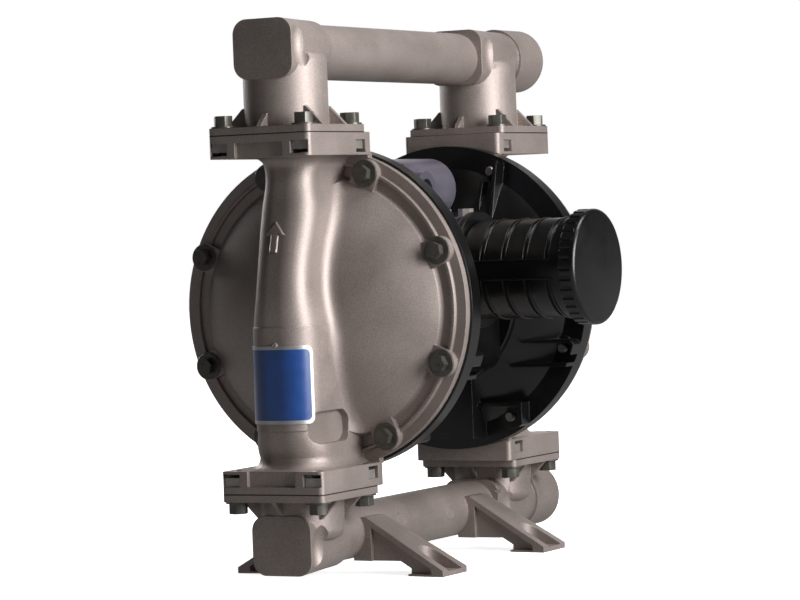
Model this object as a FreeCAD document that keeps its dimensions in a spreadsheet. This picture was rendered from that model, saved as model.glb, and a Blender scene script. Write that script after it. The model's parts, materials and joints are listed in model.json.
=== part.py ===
import FreeCAD, Part
import Sketcher
import math
import os
import re

# Air-operated double diaphragm pump with metal fluid covers, in millimetres.
# X runs along the manifolds from the blank ends to the ports, -Y is the muffler side, Z is up.
# The origin is the middle of the foot bolt pattern, on the surface that the pump stands on.

os.makedirs("parts", exist_ok=True)
doc = FreeCAD.newDocument("diaphragm_pump")

# Driving dimensions
SIZES = {
    # heights above the feet, and the reach of the flow columns from the middle
    "pump_centre": 195,
    "outlet_joint": 322,
    "inlet_joint": 67,
    "outlet_axis": 381.5,
    "inlet_axis": 30.7,
    "column_reach": 150.8,
    # fluid cover disc
    "cover_seat": 101,
    "ring_depth": 6,
    "ring_radius": 116,
    "dish_radius": 97.8,
    "rib_radius": 106.6,
    "rib_width": 3.6,
    "rib_height": 2.4,
    "dome_step": 4,
    "dome_rise": 32,
    "cover_wall": 5,
    "chamber_radius": 88,
    "window_radius": 16,
    # flow column on the fluid cover: half widths and front faces at its sections
    "nose_flat": 0.2,
    "neck_half_width": 21.5,
    "neck_front": 160.8,
    "shoulder_rise": 80,
    "shoulder_half_width": 21,
    "shoulder_front": 164.5,
    "arm_rise": 45,
    "arm_half_width": 21,
    "arm_front": 173.5,
    "waist_rise": 10,
    "waist_half_width": 21.8,
    "waist_front": 180,
    "label_low": 84,
    "label_high": 10,
    "label_half_width": 24.8,
    "label_front": 180.9,
    "label_rise": 0.7,
    "root_half_width": 27.5,
    "root_front": 176,
    "column_flare": 6,
    "flare_height": 8,
    # scooped relief on each flank of the column
    "scoop_inboard": 124,
    "scoop_outboard": 174,
    "scoop_low": 94,
    "scoop_high": 71,
    "scoop_depth": 4.2,
    # joint flanges of covers and manifolds
    "flange_length": 83,
    "flange_width": 83,
    "flange_corner": 4,
    "cover_flange_thickness": 16.5,
    "cover_flange_inboard": 101.4,
    "manifold_flange_thickness": 5.5,
    "flange_bolt_pitch": 66,
    "nut_pocket_top": 5.5,
    "nut_pocket_height": 9,
    "pocket_clearance": 0.6,
    "flange_recess_width": 39,
    "flange_recess_height": 11,
    "flange_recess_depth": 3,
    # fasteners
    "bolt_radius": 4,
    "bolt_clearance": 0.5,
    "thread_clearance": 0.1,
    "head_flats": 12.7,
    "head_height": 6.4,
    "flange_head_height": 8,
    "washer_radius": 8.8,
    "washer_thickness": 1.2,
    "nut_side": 12.6,
    "nut_height": 6.4,
    "bolt_overhang": 3,
    # cover bolts
    "bolt_circle": 105.2,
    "bolt_angle_top": 22.8,
    "bolt_angle_upper": 67.6,
    "bolt_angle_lower": 112.5,
    "bolt_angle_bottom": 151.5,
    "boss_radius": 10.3,
    "boss_rise": 5.6,
    "web_width": 14,
    # manifolds
    "tube_radius": 20,
    "passage_radius": 13,
    "riser_radius": 13.8,
    "neck_radius": 30.3,
    "neck_round": 8,
    "boss_half_height": 21.4,
    "boss_half_width": 24,
    "boss_corner": 11,
    "boss_end_corner": 20.5,
    "boss_end_half": 22.4,
    "boss_shift": 1,
    "blank_boss_before": 30.5,
    "port_boss_before": 38,
    "boss_after": 30,
    "scallop_radius": 10,
    "scallop_depth": 5,
    "scallop_inset": 11,
    "scallop_half_height": 22.6,
    "scallop_rise": 3.5,
    "port_radius": 24.9,
    "port_end": 220,
    "port_bore_radius": 15.4,
    "port_bore_depth": 24,
    "gusset_height": 13.6,
    "gusset_reach": 39.7,
    "gusset_thickness": 3.5,
    "gusset_offset": 16.2,
    # feet of the inlet manifold
    "foot_pitch": 165,
    "foot_hole_pitch": 150,
    "foot_reach": 86,
    "foot_top_width": 26,
    "foot_tip_width": 37.5,
    "foot_inner_height": 42,
    "foot_inner_reach": 21.5,
    "foot_tip_height": 4.5,
    "foot_plate": 5,
    "foot_pad_inner": 56.5,
    "foot_underside": 10.3,
    "foot_web_inset": 1.6,
    "foot_slot_radius": 10,
    "foot_slot_inner": 58,
    "foot_floor": 3.5,
    "foot_hole_radius": 4.75,
    # ball checks
    "ball_radius": 15,
    "ball_gap": 0.3,
    "ball_lift": 8,
    "seat_radius": 21,
    "seat_fit": 0.2,
    "seat_bore": 12,
    "seat_height": 8,
    "seat_chamfer": 2,
    "cavity_radius": 19.5,
    "cavity_depth": 40,
    "stop_width": 3.6,
    "stop_gap": 0.5,
    "seal_section": 1.25,
    "seal_gap": 0.05,
    "cover_bore_radius": 13,
    "cover_bore_reach": 142,
    "crease_fillet": 11,
    # air covers
    "air_cover_radius": 117.9,
    "air_rim": 10,
    "air_dish_depth": 33,
    "air_joint_radius": 100,
    "island_radius": 68,
    "island_height": 5.5,
    "cone_radius": 97,
    "cone_drop": 3,
    "air_floor_radius": 60,
    "air_wall": 5,
    "air_rib": 3,
    "air_rib_face": 75,
    "bay_inner": 55,
    "bay_outer": 112,
    "bay_high": 33,
    "bay_low": 54,
    "bay_corner": 5.5,
    "toe_inner": 27,
    "toe_outer": 66,
    "toe_high": 81,
    "leg_half_width": 28.5,
    "leg_end": 108,
    "leg_face": 66,
    "air_boss_radius": 9.5,
    "air_boss_height": 0.5,
    "bolt_tip": 3,
    # diaphragms and shaft
    "diaphragm_thickness": 3,
    "diaphragm_radius": 99.5,
    "diaphragm_flat": 58,
    "diaphragm_set_back": 4,
    "plate_radius": 50,
    "air_plate_thickness": 5,
    "fluid_plate_thickness": 10,
    "shaft_radius": 9,
    "shaft_fit": 0.05,
    "shaft_bolt_radius": 5,
    "shaft_bolt_length": 40,
    "shaft_bolt_head_radius": 9.5,
    "shaft_bolt_head_height": 6,
    "bearing_radius": 13,
    "bearing_length": 18,
    "seal_width": 3.5,
    "pilot_offset": 32,
    "pilot_radius": 3,
    "pilot_proud": 6.4,
    "pilot_length": 32,
    # centre section
    "centre_half_width": 55,
    "centre_bottom": 140,
    "centre_top": 252,
    "centre_corner": 14,
    # air valve
    "valve_axis_height": 280,
    "valve_axis_set_forward": 4.8,
    "valve_radius": 23.3,
    "valve_half_length": 53,
    "valve_plate_thickness": 5,
    "valve_plate_front": 62,
    "valve_plate_back": 34,
    "valve_plate_half_length": 42,
    "valve_pedestal_half_length": 34,
    "valve_gasket_thickness": 1,
    "spool_radius": 10,
    "spool_fit": 0.05,
    "spool_half_length": 32,
    "spool_groove_depth": 3.5,
    "end_cap_radius": 19,
    "end_cap_thickness": 5,
    "air_port_drop": 1.9,
    "air_port_radius": 9.4,
    "air_port_depth": 14,
    "air_port_boss_radius": 15.2,
    "air_port_face": 31.2,
    "valve_bolt_offset": 18,
    "valve_bolt_front": 54,
    "valve_bolt_radius": 3,
    "valve_bolt_flats": 10,
    "valve_bolt_head": 6,
    # muffler
    "muffler_axis_height": 218,
    "muffler_base": 75,
    "muffler_end": 171,
    "muffler_radius": 36.7,
    "muffler_wall": 4,
    "muffler_plate_thickness": 5,
    "muffler_gasket_thickness": 1,
    "muffler_plate_half_width": 34,
    "muffler_plate_radius": 43.2,
    "muffler_neck_depth": 20,
    "muffler_neck_radius": 15,
    "slit_pitch": 17.6,
    "slit_width": 2.4,
    "slit_depth": 1.6,
    "slit_first": 16.7,
    "slit_angle": 158,
    "cap_radius": 42.5,
    "cap_length": 13,
    "cap_round": 3,
    "cap_wall": 4,
    "cap_fit": 0.4,
    "flute_radius": 1.8,
    "flute_count": 36,
    # rating plate on the near column, bare
    "plate_height": 55.5,
    "plate_drop": 51,
    "plate_half_angle": 68,
    "plate_thickness": 0.6,
    "plate_bed": 0.12,
}

SHEET_COLUMN = "A"
sizes = doc.addObject("Spreadsheet::Sheet", "Sizes")
for row, (alias, number) in enumerate(SIZES.items(), start=1):
    sizes.set(f"{SHEET_COLUMN}{row}", str(number))
    sizes.setAlias(f"{SHEET_COLUMN}{row}", alias)
doc.recompute()

# The planes of a body: each sketch reads as (u, v) on its plane and is padded along the normal.
SIDE = "YZ_Plane"    # u = Y, v = Z, normal +X
FRONT = "XZ_Plane"   # u = X, v = Z, normal -Y
PLAN = "XY_Plane"    # u = X, v = Y, normal +Z

MIRROR_X = FreeCAD.Vector(1, 0, 0)
TURN = {
    "X": FreeCAD.Rotation(FreeCAD.Vector(0, 1, 0), 90),
    "-X": FreeCAD.Rotation(FreeCAD.Vector(0, 1, 0), -90),
    "-Y": FreeCAD.Rotation(FreeCAD.Vector(1, 0, 0), 90),
    "Z": FreeCAD.Rotation(),
    "-Z": FreeCAD.Rotation(FreeCAD.Vector(1, 0, 0), 180),
}
handed_in = []


def sized(formula):
    """Turns a formula of size names into an expression on the sheet."""
    return re.sub(r"[a-z][a-z_]+", lambda word: ("Sizes." if word[0] in SIZES else "") + word[0], formula)


def value(formula):
    """The number that a formula gives now."""
    return float(sizes.evalExpression(sized(formula)))


def bind(item, path, formula):
    """Ties a property to a formula of sizes."""
    item.setExpression(path, sized(formula))


def new_body(name):
    """A part design body that becomes one piece."""
    return doc.addObject("PartDesign::Body", name)


def sketch_on(body, name, plane, offset="0", origin=("0", "0")):
    """A sketch on an origin plane of the body, moved along the normal and within the plane."""
    made = body.newObject("Sketcher::SketchObject", name)
    support = next(item for item in body.Origin.OriginFeatures if item.Role == plane)
    made.AttachmentSupport = [(support, "")]
    made.MapMode = "FlatFace"
    bind(made, ".AttachmentOffset.Base.x", origin[0])
    bind(made, ".AttachmentOffset.Base.y", origin[1])
    bind(made, ".AttachmentOffset.Base.z", offset)
    return made


def pin_point(made, edge, vertex, u, v):
    """Places a point of a sketch by two dimensions from the sketch's origin."""
    for kind, formula, axis in (("DistanceX", u, -2), ("DistanceY", v, -1)):
        if formula == "0":
            made.addConstraint(Sketcher.Constraint("PointOnObject", edge, vertex, axis))
        else:
            place = made.addConstraint(Sketcher.Constraint(kind, -1, 1, edge, vertex, value(formula)))
            bind(made, f"Constraints[{place}]", formula)


def arc_between(start, end, radius, side):
    """The shorter arc from start to end, turning left for side 1 and right for side -1."""
    chord = end - start
    across = FreeCAD.Vector(-chord.y, chord.x, 0).normalize()
    rise = math.sqrt(max(radius ** 2 - (chord.Length / 2) ** 2, 0))
    centre = (start + end) * 0.5 + across * (rise * side)
    first, last = (start, end) if side > 0 else (end, start)
    angles = [math.atan2(spot.y - centre.y, spot.x - centre.x) for spot in (first, last)]
    return Part.ArcOfCircle(Part.Circle(centre, FreeCAD.Vector(0, 0, 1), radius), angles[0], angles[1])


def outline(made, points):
    """A closed outline. Each point is (u, v), or (u, v, radius, side) where an arc ends there."""
    spots = [FreeCAD.Vector(value(point[0]), value(point[1]), 0) for point in points]
    edges = []
    for index, point in enumerate(points):
        start, end = spots[index - 1], spots[index]
        if len(point) == 2:
            edge = made.addGeometry(Part.LineSegment(start, end), False)
            edges.append((edge, 1, 2))
            continue
        radius, side = point[2], point[3]
        edge = made.addGeometry(arc_between(start, end, value(radius), side), False)
        edges.append((edge, 1, 2) if side > 0 else (edge, 2, 1))
    for index, (edge, first, last) in enumerate(edges):
        following, follow_first, follow_last = edges[(index + 1) % len(edges)]
        made.addConstraint(Sketcher.Constraint("Coincident", edge, last, following, follow_first))
        pin_point(made, edge, last, points[index][0], points[index][1])
        if len(points[index]) == 4:
            bent = made.addConstraint(Sketcher.Constraint("Radius", edge, value(points[index][2])))
            bind(made, f"Constraints[{bent}]", points[index][2])
    return made


def circle(made, u, v, radius):
    """A full circle in a sketch."""
    spot = FreeCAD.Vector(value(u), value(v), 0)
    edge = made.addGeometry(Part.Circle(spot, FreeCAD.Vector(0, 0, 1), value(radius)), False)
    pin_point(made, edge, 3, u, v)
    bent = made.addConstraint(Sketcher.Constraint("Radius", edge, value(radius)))
    bind(made, f"Constraints[{bent}]", radius)
    return made


def rectangle(made, left, right, low, high):
    """A rectangle between two u and two v values."""
    return outline(made, [(right, low), (right, high), (left, high), (left, low)])


def rounded_rectangle(made, left, right, low, high, corner):
    """A rectangle whose four corners are arcs."""
    inner_left, inner_right = f"{left} + {corner}", f"{right} - {corner}"
    inner_low, inner_high = f"{low} + {corner}", f"{high} - {corner}"
    return outline(made, [
        (inner_right, low), (right, inner_low, corner, 1),
        (right, inner_high), (inner_right, high, corner, 1),
        (inner_left, high), (left, inner_high, corner, 1),
        (left, inner_low), (inner_left, low, corner, 1)])


def feature(body, kind, name, profile, **options):
    """A sketch-based feature of a body with its plain options."""
    made = body.newObject(f"PartDesign::{kind}", name)
    made.Profile = (profile, [""])
    for option, setting in options.items():
        setattr(made, option, setting)
    return made


def pad(body, name, profile, length, **options):
    """A pad along the sketch's normal, or against it when Reversed is set."""
    made = feature(body, "Pad", name, profile, **options)
    bind(made, "Length", length)
    return made


def pocket(body, name, profile, length, **options):
    """A pocket against the sketch's normal, or along it when Reversed is set."""
    made = feature(body, "Pocket", name, profile, **options)
    bind(made, "Length", length)
    return made


def revolve(body, name, profile, axis="H_Axis", kind="Revolution", angle="360", **options):
    """A turned form about one of the sketch's own axes."""
    made = feature(body, kind, name, profile, **options)
    made.ReferenceAxis = (profile, [axis])
    bind(made, "Angle", angle)
    return made


def loft(body, name, profiles, ruled=False):
    """A loft through sketches in order: smooth, or straight between sections when ruled."""
    made = feature(body, "AdditiveLoft", name, profiles[0])
    made.Sections = [(profile, [""]) for profile in profiles[1:]]
    made.Ruled = ruled
    return made


def turned_piece(name, plane, points, offset="0", origin=("0", "0"), axis="H_Axis"):
    """A body made by one full turn of one outline."""
    body = new_body(name)
    profile = outline(sketch_on(body, f"{name}_profile", plane, offset, origin), points)
    revolve(body, f"{name}_turned", profile, axis)
    return hand_in(body, name)


def place(item, x, y, z, direction="Z"):
    """Puts a primitive at a place tied to the sizes, with its height along a direction."""
    item.Placement = FreeCAD.Placement(FreeCAD.Vector(), TURN[direction])
    for path, formula in zip((".Placement.Base.x", ".Placement.Base.y", ".Placement.Base.z"), (x, y, z)):
        bind(item, path, formula)
    return item


def cylinder(name, radius, height, x, y, z, direction="Z"):
    """A cylinder that starts at a place and runs along a direction."""
    made = doc.addObject("Part::Cylinder", name)
    bind(made, "Radius", radius)
    bind(made, "Height", height)
    return place(made, x, y, z, direction)


def hexagon(name, flats, height, x, y, z, direction="Z"):
    """A hexagonal prism given by its width across flats."""
    made = doc.addObject("Part::Prism", name)
    made.Polygon = 6
    bind(made, "Circumradius", f"{flats} / sqrt(3)")
    bind(made, "Height", height)
    return place(made, x, y, z, direction)


def fused(name, items):
    """One solid from overlapping primitives."""
    made = doc.addObject("Part::MultiFuse", name)
    made.Shapes = items
    return made


def cut(name, base, tool):
    """One primitive less another."""
    made = doc.addObject("Part::Cut", name)
    made.Base = base
    made.Tool = tool
    return made


def group(name, items):
    """Separate identical solids that share one node."""
    made = doc.addObject("Part::Compound", name)
    made.Links = items
    return hand_in(made, name)


def mirrored(name, source):
    """The opposite hand of a piece, across the middle plane between the two chambers."""
    made = doc.addObject("Part::Mirroring", name)
    made.Source = source
    made.Base = FreeCAD.Vector()
    made.Normal = MIRROR_X
    return hand_in(made, name)


def hand_in(item, label):
    """Labels a finished piece and keeps it for the export."""
    item.Label = label
    handed_in.append(item)
    return item


# Places worked out from the driving dimensions
ring_front = "(cover_seat + ring_depth)"
boss_front = f"({ring_front} + boss_rise)"
dome_base = f"({ring_front} + dome_step)"
dome_curve = "((dish_radius ^ 2 + dome_rise ^ 2) / (2 * dome_rise))"
inner_dome_radius = "(chamber_radius - 1)"
inner_dome_curve = f"(({inner_dome_radius} ^ 2 + dome_rise ^ 2) / (2 * dome_rise))"
flange_outboard = "(column_reach + flange_length / 2)"
half_pitch = "(flange_bolt_pitch / 2)"
cover_top_face = "(outlet_joint - cover_flange_thickness)"
cover_low_face = "(inlet_joint + cover_flange_thickness)"
air_seat = "(cover_seat - diaphragm_thickness)"
air_back = f"({air_seat} - air_rim)"
air_floor = f"({air_seat} - air_dish_depth + air_wall)"
air_outer_floor = f"({air_seat} - air_dish_depth)"
boss_back = f"({air_back} - air_boss_height)"
ball_rise = "(sqrt((ball_radius + ball_gap) ^ 2 - seat_bore ^ 2) - seat_chamfer)"
stop_height = f"({ball_rise} + ball_radius + ball_lift + stop_gap)"
diaphragm_inner = f"({air_seat} - diaphragm_set_back)"
diaphragm_outer = f"({diaphragm_inner} + diaphragm_thickness)"
air_plate_inner = f"({diaphragm_inner} - air_plate_thickness)"
fluid_plate_outer = f"({diaphragm_outer} + fluid_plate_thickness)"
hole_radius = "(bolt_radius + bolt_clearance)"
scallop_curve = "((scallop_half_height ^ 2 + scallop_radius ^ 2) / (2 * scallop_radius))"
muffler_plate_side = "sqrt(muffler_plate_radius ^ 2 - muffler_plate_half_width ^ 2)"
muffler_plate_high = f"(muffler_axis_height + {muffler_plate_side})"
muffler_plate_low = f"(muffler_axis_height - {muffler_plate_side})"
BOLT_ANGLES = ("bolt_angle_top", "bolt_angle_upper", "bolt_angle_lower", "bolt_angle_bottom")


def cover_bolt_places():
    """Y and height of the eight bolts that clamp a fluid cover to its air cover."""
    return [(f"({sign}bolt_circle * sin({angle}))", f"(pump_centre + bolt_circle * cos({angle}))")
            for angle in BOLT_ANGLES for sign in ("", "-")]


def column_section(body, name, height, half_width, front):
    """One section of the flow column: square at the dish, with a rounded and slightly flat nose."""
    made = sketch_on(body, name, PLAN, height)
    flat = f"(nose_flat * {half_width})"
    bend = f"({half_width} - {flat})"
    shoulder = f"({front} - {bend})"
    return outline(made, [
        (shoulder, f"-{half_width}"), (front, f"-{flat}", bend, 1),
        (front, flat), (shoulder, half_width, bend, 1),
        ("cover_flange_inboard", half_width), ("cover_flange_inboard", f"-{half_width}")])


def column_flare(body, name, face, direction, half_width, front):
    """The stepped fillet between the column and a flange."""
    sections = []
    for step, (rise, spread) in enumerate(((0, 1), (0.12, 0.62), (0.35, 0.27), (0.65, 0.07), (1, 0))):
        grown = f"({half_width} + {spread} * column_flare)"
        reach = f"({front} + {spread} * column_flare)"
        sections.append(column_section(body, f"{name}_{step}",
                                       f"({face} + {direction} * {rise} * flare_height)", grown, reach))
    return loft(body, name, sections, ruled=True)


def round_creases(body, dome):
    """The cast fillet along the two creases between the flow column and the dome."""
    doc.recompute()
    creases = []
    for number, edge in enumerate(dome.Shape.Edges, 1):
        middle = edge.valueAt((edge.FirstParameter + edge.LastParameter) / 2)
        beside = abs(middle.y) < 2 * value("waist_half_width") and middle.x > value(dome_base)
        level = abs(middle.z - value("pump_centre")) < value("waist_rise")
        if beside and level and edge.Length > value("dish_radius"):
            creases.append(f"Edge{number}")
    made = body.newObject("PartDesign::Fillet", "crease_fillets")
    made.Base = (dome, creases)
    bind(made, "Radius", "crease_fillet")
    dome.Visibility = False
    return made


def fluid_cover():
    """The cast fluid cover: dish, clamp ring, flow column, two flanges and a ball cavity."""
    body = new_body("right_fluid_cover")
    sections = [
        ("column_root", f"({cover_low_face} + flare_height)", "root_half_width", "root_front"),
        ("column_label_base", "(pump_centre - label_low)", "label_half_width", "label_front"),
        ("column_label_middle", "(pump_centre - label_low / 2 - label_high / 2)", "label_half_width",
         "label_front"),
        ("column_label_top", "(pump_centre - label_high)", "label_half_width", "label_front"),
        ("column_waist", "(pump_centre + waist_rise)", "waist_half_width", "waist_front"),
        ("column_arm", "(pump_centre + arm_rise)", "arm_half_width", "arm_front"),
        ("column_shoulder", "(pump_centre + shoulder_rise)", "shoulder_half_width", "shoulder_front"),
        ("column_neck", f"({cover_top_face} - flare_height)", "neck_half_width", "neck_front")]
    loft(body, "flow_column", [column_section(body, *section) for section in sections])

    disc = sketch_on(body, "disc_profile", FRONT, "0", ("0", "pump_centre"))
    bead_in, bead_out = "(rib_radius - rib_width / 2)", "(rib_radius + rib_width / 2)"
    outline(disc, [
        ("cover_seat", "0"), ("cover_seat", "ring_radius"), (ring_front, "ring_radius"),
        (ring_front, bead_out),
        (f"{ring_front} + rib_height", f"{bead_out} - 0.8"),
        (f"{ring_front} + rib_height", f"{bead_in} + 0.8"), (ring_front, bead_in),
        (ring_front, "dish_radius"), (dome_base, "dish_radius - 1.5"),
        (f"{dome_base} + dome_rise", "0", dome_curve, -1)])
    dome = revolve(body, "disc_and_dome", disc)
    round_creases(body, dome)
    column_flare(body, "root_flare", cover_low_face, 1, "root_half_width", "root_front")
    column_flare(body, "neck_flare", cover_top_face, -1, "neck_half_width", "neck_front")
    label_pad = column_section(body, "label_pad_outline", "(pump_centre - label_low)",
                               "(label_half_width + label_rise)", "(label_front + label_rise)")
    pad(body, "label_pad", label_pad, "label_low - label_high")

    bosses = sketch_on(body, "boss_circles", SIDE, "cover_seat")
    for y, z in cover_bolt_places():
        circle(bosses, y, z, "boss_radius")
    pad(body, "bolt_bosses", bosses, "ring_depth + boss_rise")
    backs = sketch_on(body, "boss_back_outlines", SIDE, "cover_seat")
    for angle in BOLT_ANGLES:
        for sign in (1, -1):
            corners = []
            for along, across in ((0, 1), (0, -1), (-1, -1), (-1, 1)):
                radial = f"(bolt_circle + {along} * boss_radius)"
                y = f"({sign} * ({radial} * sin({angle}) + {across} * 0.98 * boss_radius * cos({angle})))"
                z = f"(pump_centre + {radial} * cos({angle}) - {across} * 0.98 * boss_radius * sin({angle}))"
                corners.append((y, z))
            outline(backs, corners)
    pad(body, "boss_backs", backs, "ring_depth + boss_rise - 0.6")

    for name, angle, face, grow in (("top_webs", "bolt_angle_top", cover_top_face, 1),
                                    ("bottom_webs", "bolt_angle_bottom", cover_low_face, -1)):
        web = sketch_on(body, f"{name}_outline", SIDE, "cover_seat")
        for sign in (1, -1):
            near = f"({sign} * (flange_width / 2 - web_width))"
            far = f"({sign} * (flange_width / 2 - 0.5))"
            left, right = (near, far) if sign > 0 else (far, near)
            inner = f"(pump_centre + bolt_circle * cos({angle}))"
            outer = f"({face} + {grow})"
            low, high = (inner, outer) if grow > 0 else (outer, inner)
            rectangle(web, left, right, low, high)
        pad(body, name, web, "ring_depth")

    for name, face in (("top_flange", cover_top_face), ("bottom_flange", "inlet_joint")):
        slab = sketch_on(body, f"{name}_outline", PLAN, face)
        rounded_rectangle(slab, "cover_flange_inboard", flange_outboard,
                          "-flange_width / 2", "flange_width / 2", "flange_corner")
        pad(body, name, slab, "cover_flange_thickness")

    hollow = sketch_on(body, "chamber_profile", FRONT, "0", ("0", "pump_centre"))
    outline(hollow, [
        ("cover_seat - cover_wall", "0"), ("cover_seat - cover_wall", "chamber_radius"),
        (f"{dome_base} - cover_wall", "chamber_radius"),
        (f"{dome_base} - cover_wall + 0.5", inner_dome_radius),
        (f"{dome_base} + dome_rise - cover_wall", "0", inner_dome_curve, -1)])
    revolve(body, "chamber", hollow, kind="Groove")

    bore = circle(sketch_on(body, "bore_circle", PLAN, "outlet_joint"), "cover_bore_reach", "0",
                  "cover_bore_radius")
    pocket(body, "column_bore", bore, "outlet_joint - inlet_joint - cavity_depth / 2")
    window = circle(sketch_on(body, "window_circle", SIDE, "column_reach"), "0", "pump_centre",
                    "window_radius")
    pocket(body, "chamber_window", window, "column_reach - cover_seat")
    cavity = circle(sketch_on(body, "cavity_circle", PLAN, "inlet_joint"), "column_reach", "0",
                    "cavity_radius")
    pocket(body, "ball_cavity", cavity, "cavity_depth", Reversed=True)
    seat = circle(sketch_on(body, "seat_circle", PLAN, "outlet_joint"), "column_reach", "0",
                  "(seat_radius + seat_fit)")
    pocket(body, "outlet_seat_bore", seat, "seat_height")
    stops = cross_outline(sketch_on(body, "stop_cross", PLAN, f"inlet_joint + {stop_height}"),
                          "column_reach")
    pad(body, "ball_stops", stops, f"cavity_depth - {stop_height}")

    holes = sketch_on(body, "flange_hole_circles", PLAN, "outlet_joint")
    for across, along in CORNERS:
        circle(holes, f"column_reach + {across} * {half_pitch}", f"{along} * {half_pitch}", hole_radius)
    pocket(body, "top_flange_holes", holes, "cover_flange_thickness")
    holes = sketch_on(body, "low_flange_hole_circles", PLAN, "inlet_joint")
    for across, along in CORNERS:
        circle(holes, f"column_reach + {across} * {half_pitch}", f"{along} * {half_pitch}", hole_radius)
    pocket(body, "bottom_flange_holes", holes, "cover_flange_thickness", Reversed=True)
    bolt_holes = sketch_on(body, "cover_hole_circles", SIDE, boss_front)
    for y, z in cover_bolt_places():
        circle(bolt_holes, y, z, hole_radius)
    pocket(body, "cover_holes", bolt_holes, f"{boss_front} - cover_seat")

    nut_room = "(nut_side / 2 + pocket_clearance)"
    for name, base in (("top_nut_pockets", "(outlet_joint - nut_pocket_top - nut_pocket_height)"),
                       ("bottom_nut_pockets", "(inlet_joint + nut_pocket_top)")):
        rooms = sketch_on(body, f"{name}_outline", PLAN, base)
        for sign in (1, -1):
            inner = f"({sign} * {half_pitch} - {nut_room})"
            outer = f"({sign} * {half_pitch} + {nut_room})"
            rectangle(rooms, f"column_reach + {half_pitch} - {nut_room}", f"{flange_outboard} + 1", inner,
                      outer)
            open_side = f"({sign} * (flange_width / 2 + 1))"
            low, high = (inner, open_side) if sign > 0 else (open_side, outer)
            rectangle(rooms, f"column_reach - {half_pitch} - {nut_room}",
                      f"column_reach - {half_pitch} + {nut_room}", low, high)
        pocket(body, name, rooms, "nut_pocket_height", Reversed=True)

    recess = sketch_on(body, "recess_outlines", SIDE, flange_outboard)
    for base in ("(outlet_joint - nut_pocket_top - flange_recess_height)",
                 "(inlet_joint + nut_pocket_top)"):
        rectangle(recess, "-flange_recess_width / 2", "flange_recess_width / 2",
                  base, f"{base} + flange_recess_height")
    pocket(body, "flange_recesses", recess, "flange_recess_depth")

    scoop = sketch_on(body, "scoop_outline", FRONT, "label_half_width - scoop_depth")
    rounded_rectangle(scoop, "scoop_inboard", "scoop_outboard", "pump_centre - scoop_low",
                      "pump_centre - scoop_high", "(scoop_low - scoop_high) / 2.4")
    pocket(body, "near_scoop", scoop, "3 * scoop_depth", Reversed=True)
    far_scoop = sketch_on(body, "far_scoop_outline", FRONT, "scoop_depth - label_half_width")
    rounded_rectangle(far_scoop, "scoop_inboard", "scoop_outboard", "pump_centre - scoop_low",
                      "pump_centre - scoop_high", "(scoop_low - scoop_high) / 2.4")
    pocket(body, "far_scoop", far_scoop, "3 * scoop_depth")
    return hand_in(body, "right_fluid_cover")


CORNERS = ((1, 1), (1, -1), (-1, 1), (-1, -1))


def cross_outline(made, centre):
    """The cross of bars that stops a ball at the top of its lift."""
    reach, half = "(cavity_radius + 0.5)", "(stop_width / 2)"
    spots = ((reach, f"-{half}"), (reach, half), (half, half), (half, reach), (f"-{half}", reach),
             (f"-{half}", half), (f"-{reach}", half), (f"-{reach}", f"-{half}"), (f"-{half}", f"-{half}"),
             (f"-{half}", f"-{reach}"), (half, f"-{reach}"), (half, f"-{half}"))
    return outline(made, [(f"{centre} + {u}", v) for u, v in spots])


def manifold_boss(body, name, start, end, axis):
    """The boss over a neck: a rounded square at its blank side that turns round towards the ports."""
    low, high = f"{axis} - boss_half_height", f"{axis} + boss_half_height"
    square = sketch_on(body, f"{name}_square", SIDE, start)
    rounded_rectangle(square, "-boss_half_width", "boss_half_width", low, high, "boss_corner")
    middle = sketch_on(body, f"{name}_middle", SIDE, f"({start} + {end}) / 2")
    rounded_rectangle(middle, "-boss_end_half", "boss_end_half", low, high, "(boss_end_corner - 5)")
    rounded = sketch_on(body, f"{name}_round", SIDE, end)
    rounded_rectangle(rounded, "-boss_end_half", "boss_end_half", low, high, "boss_end_corner")
    return loft(body, name, [square, middle, rounded])


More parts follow.
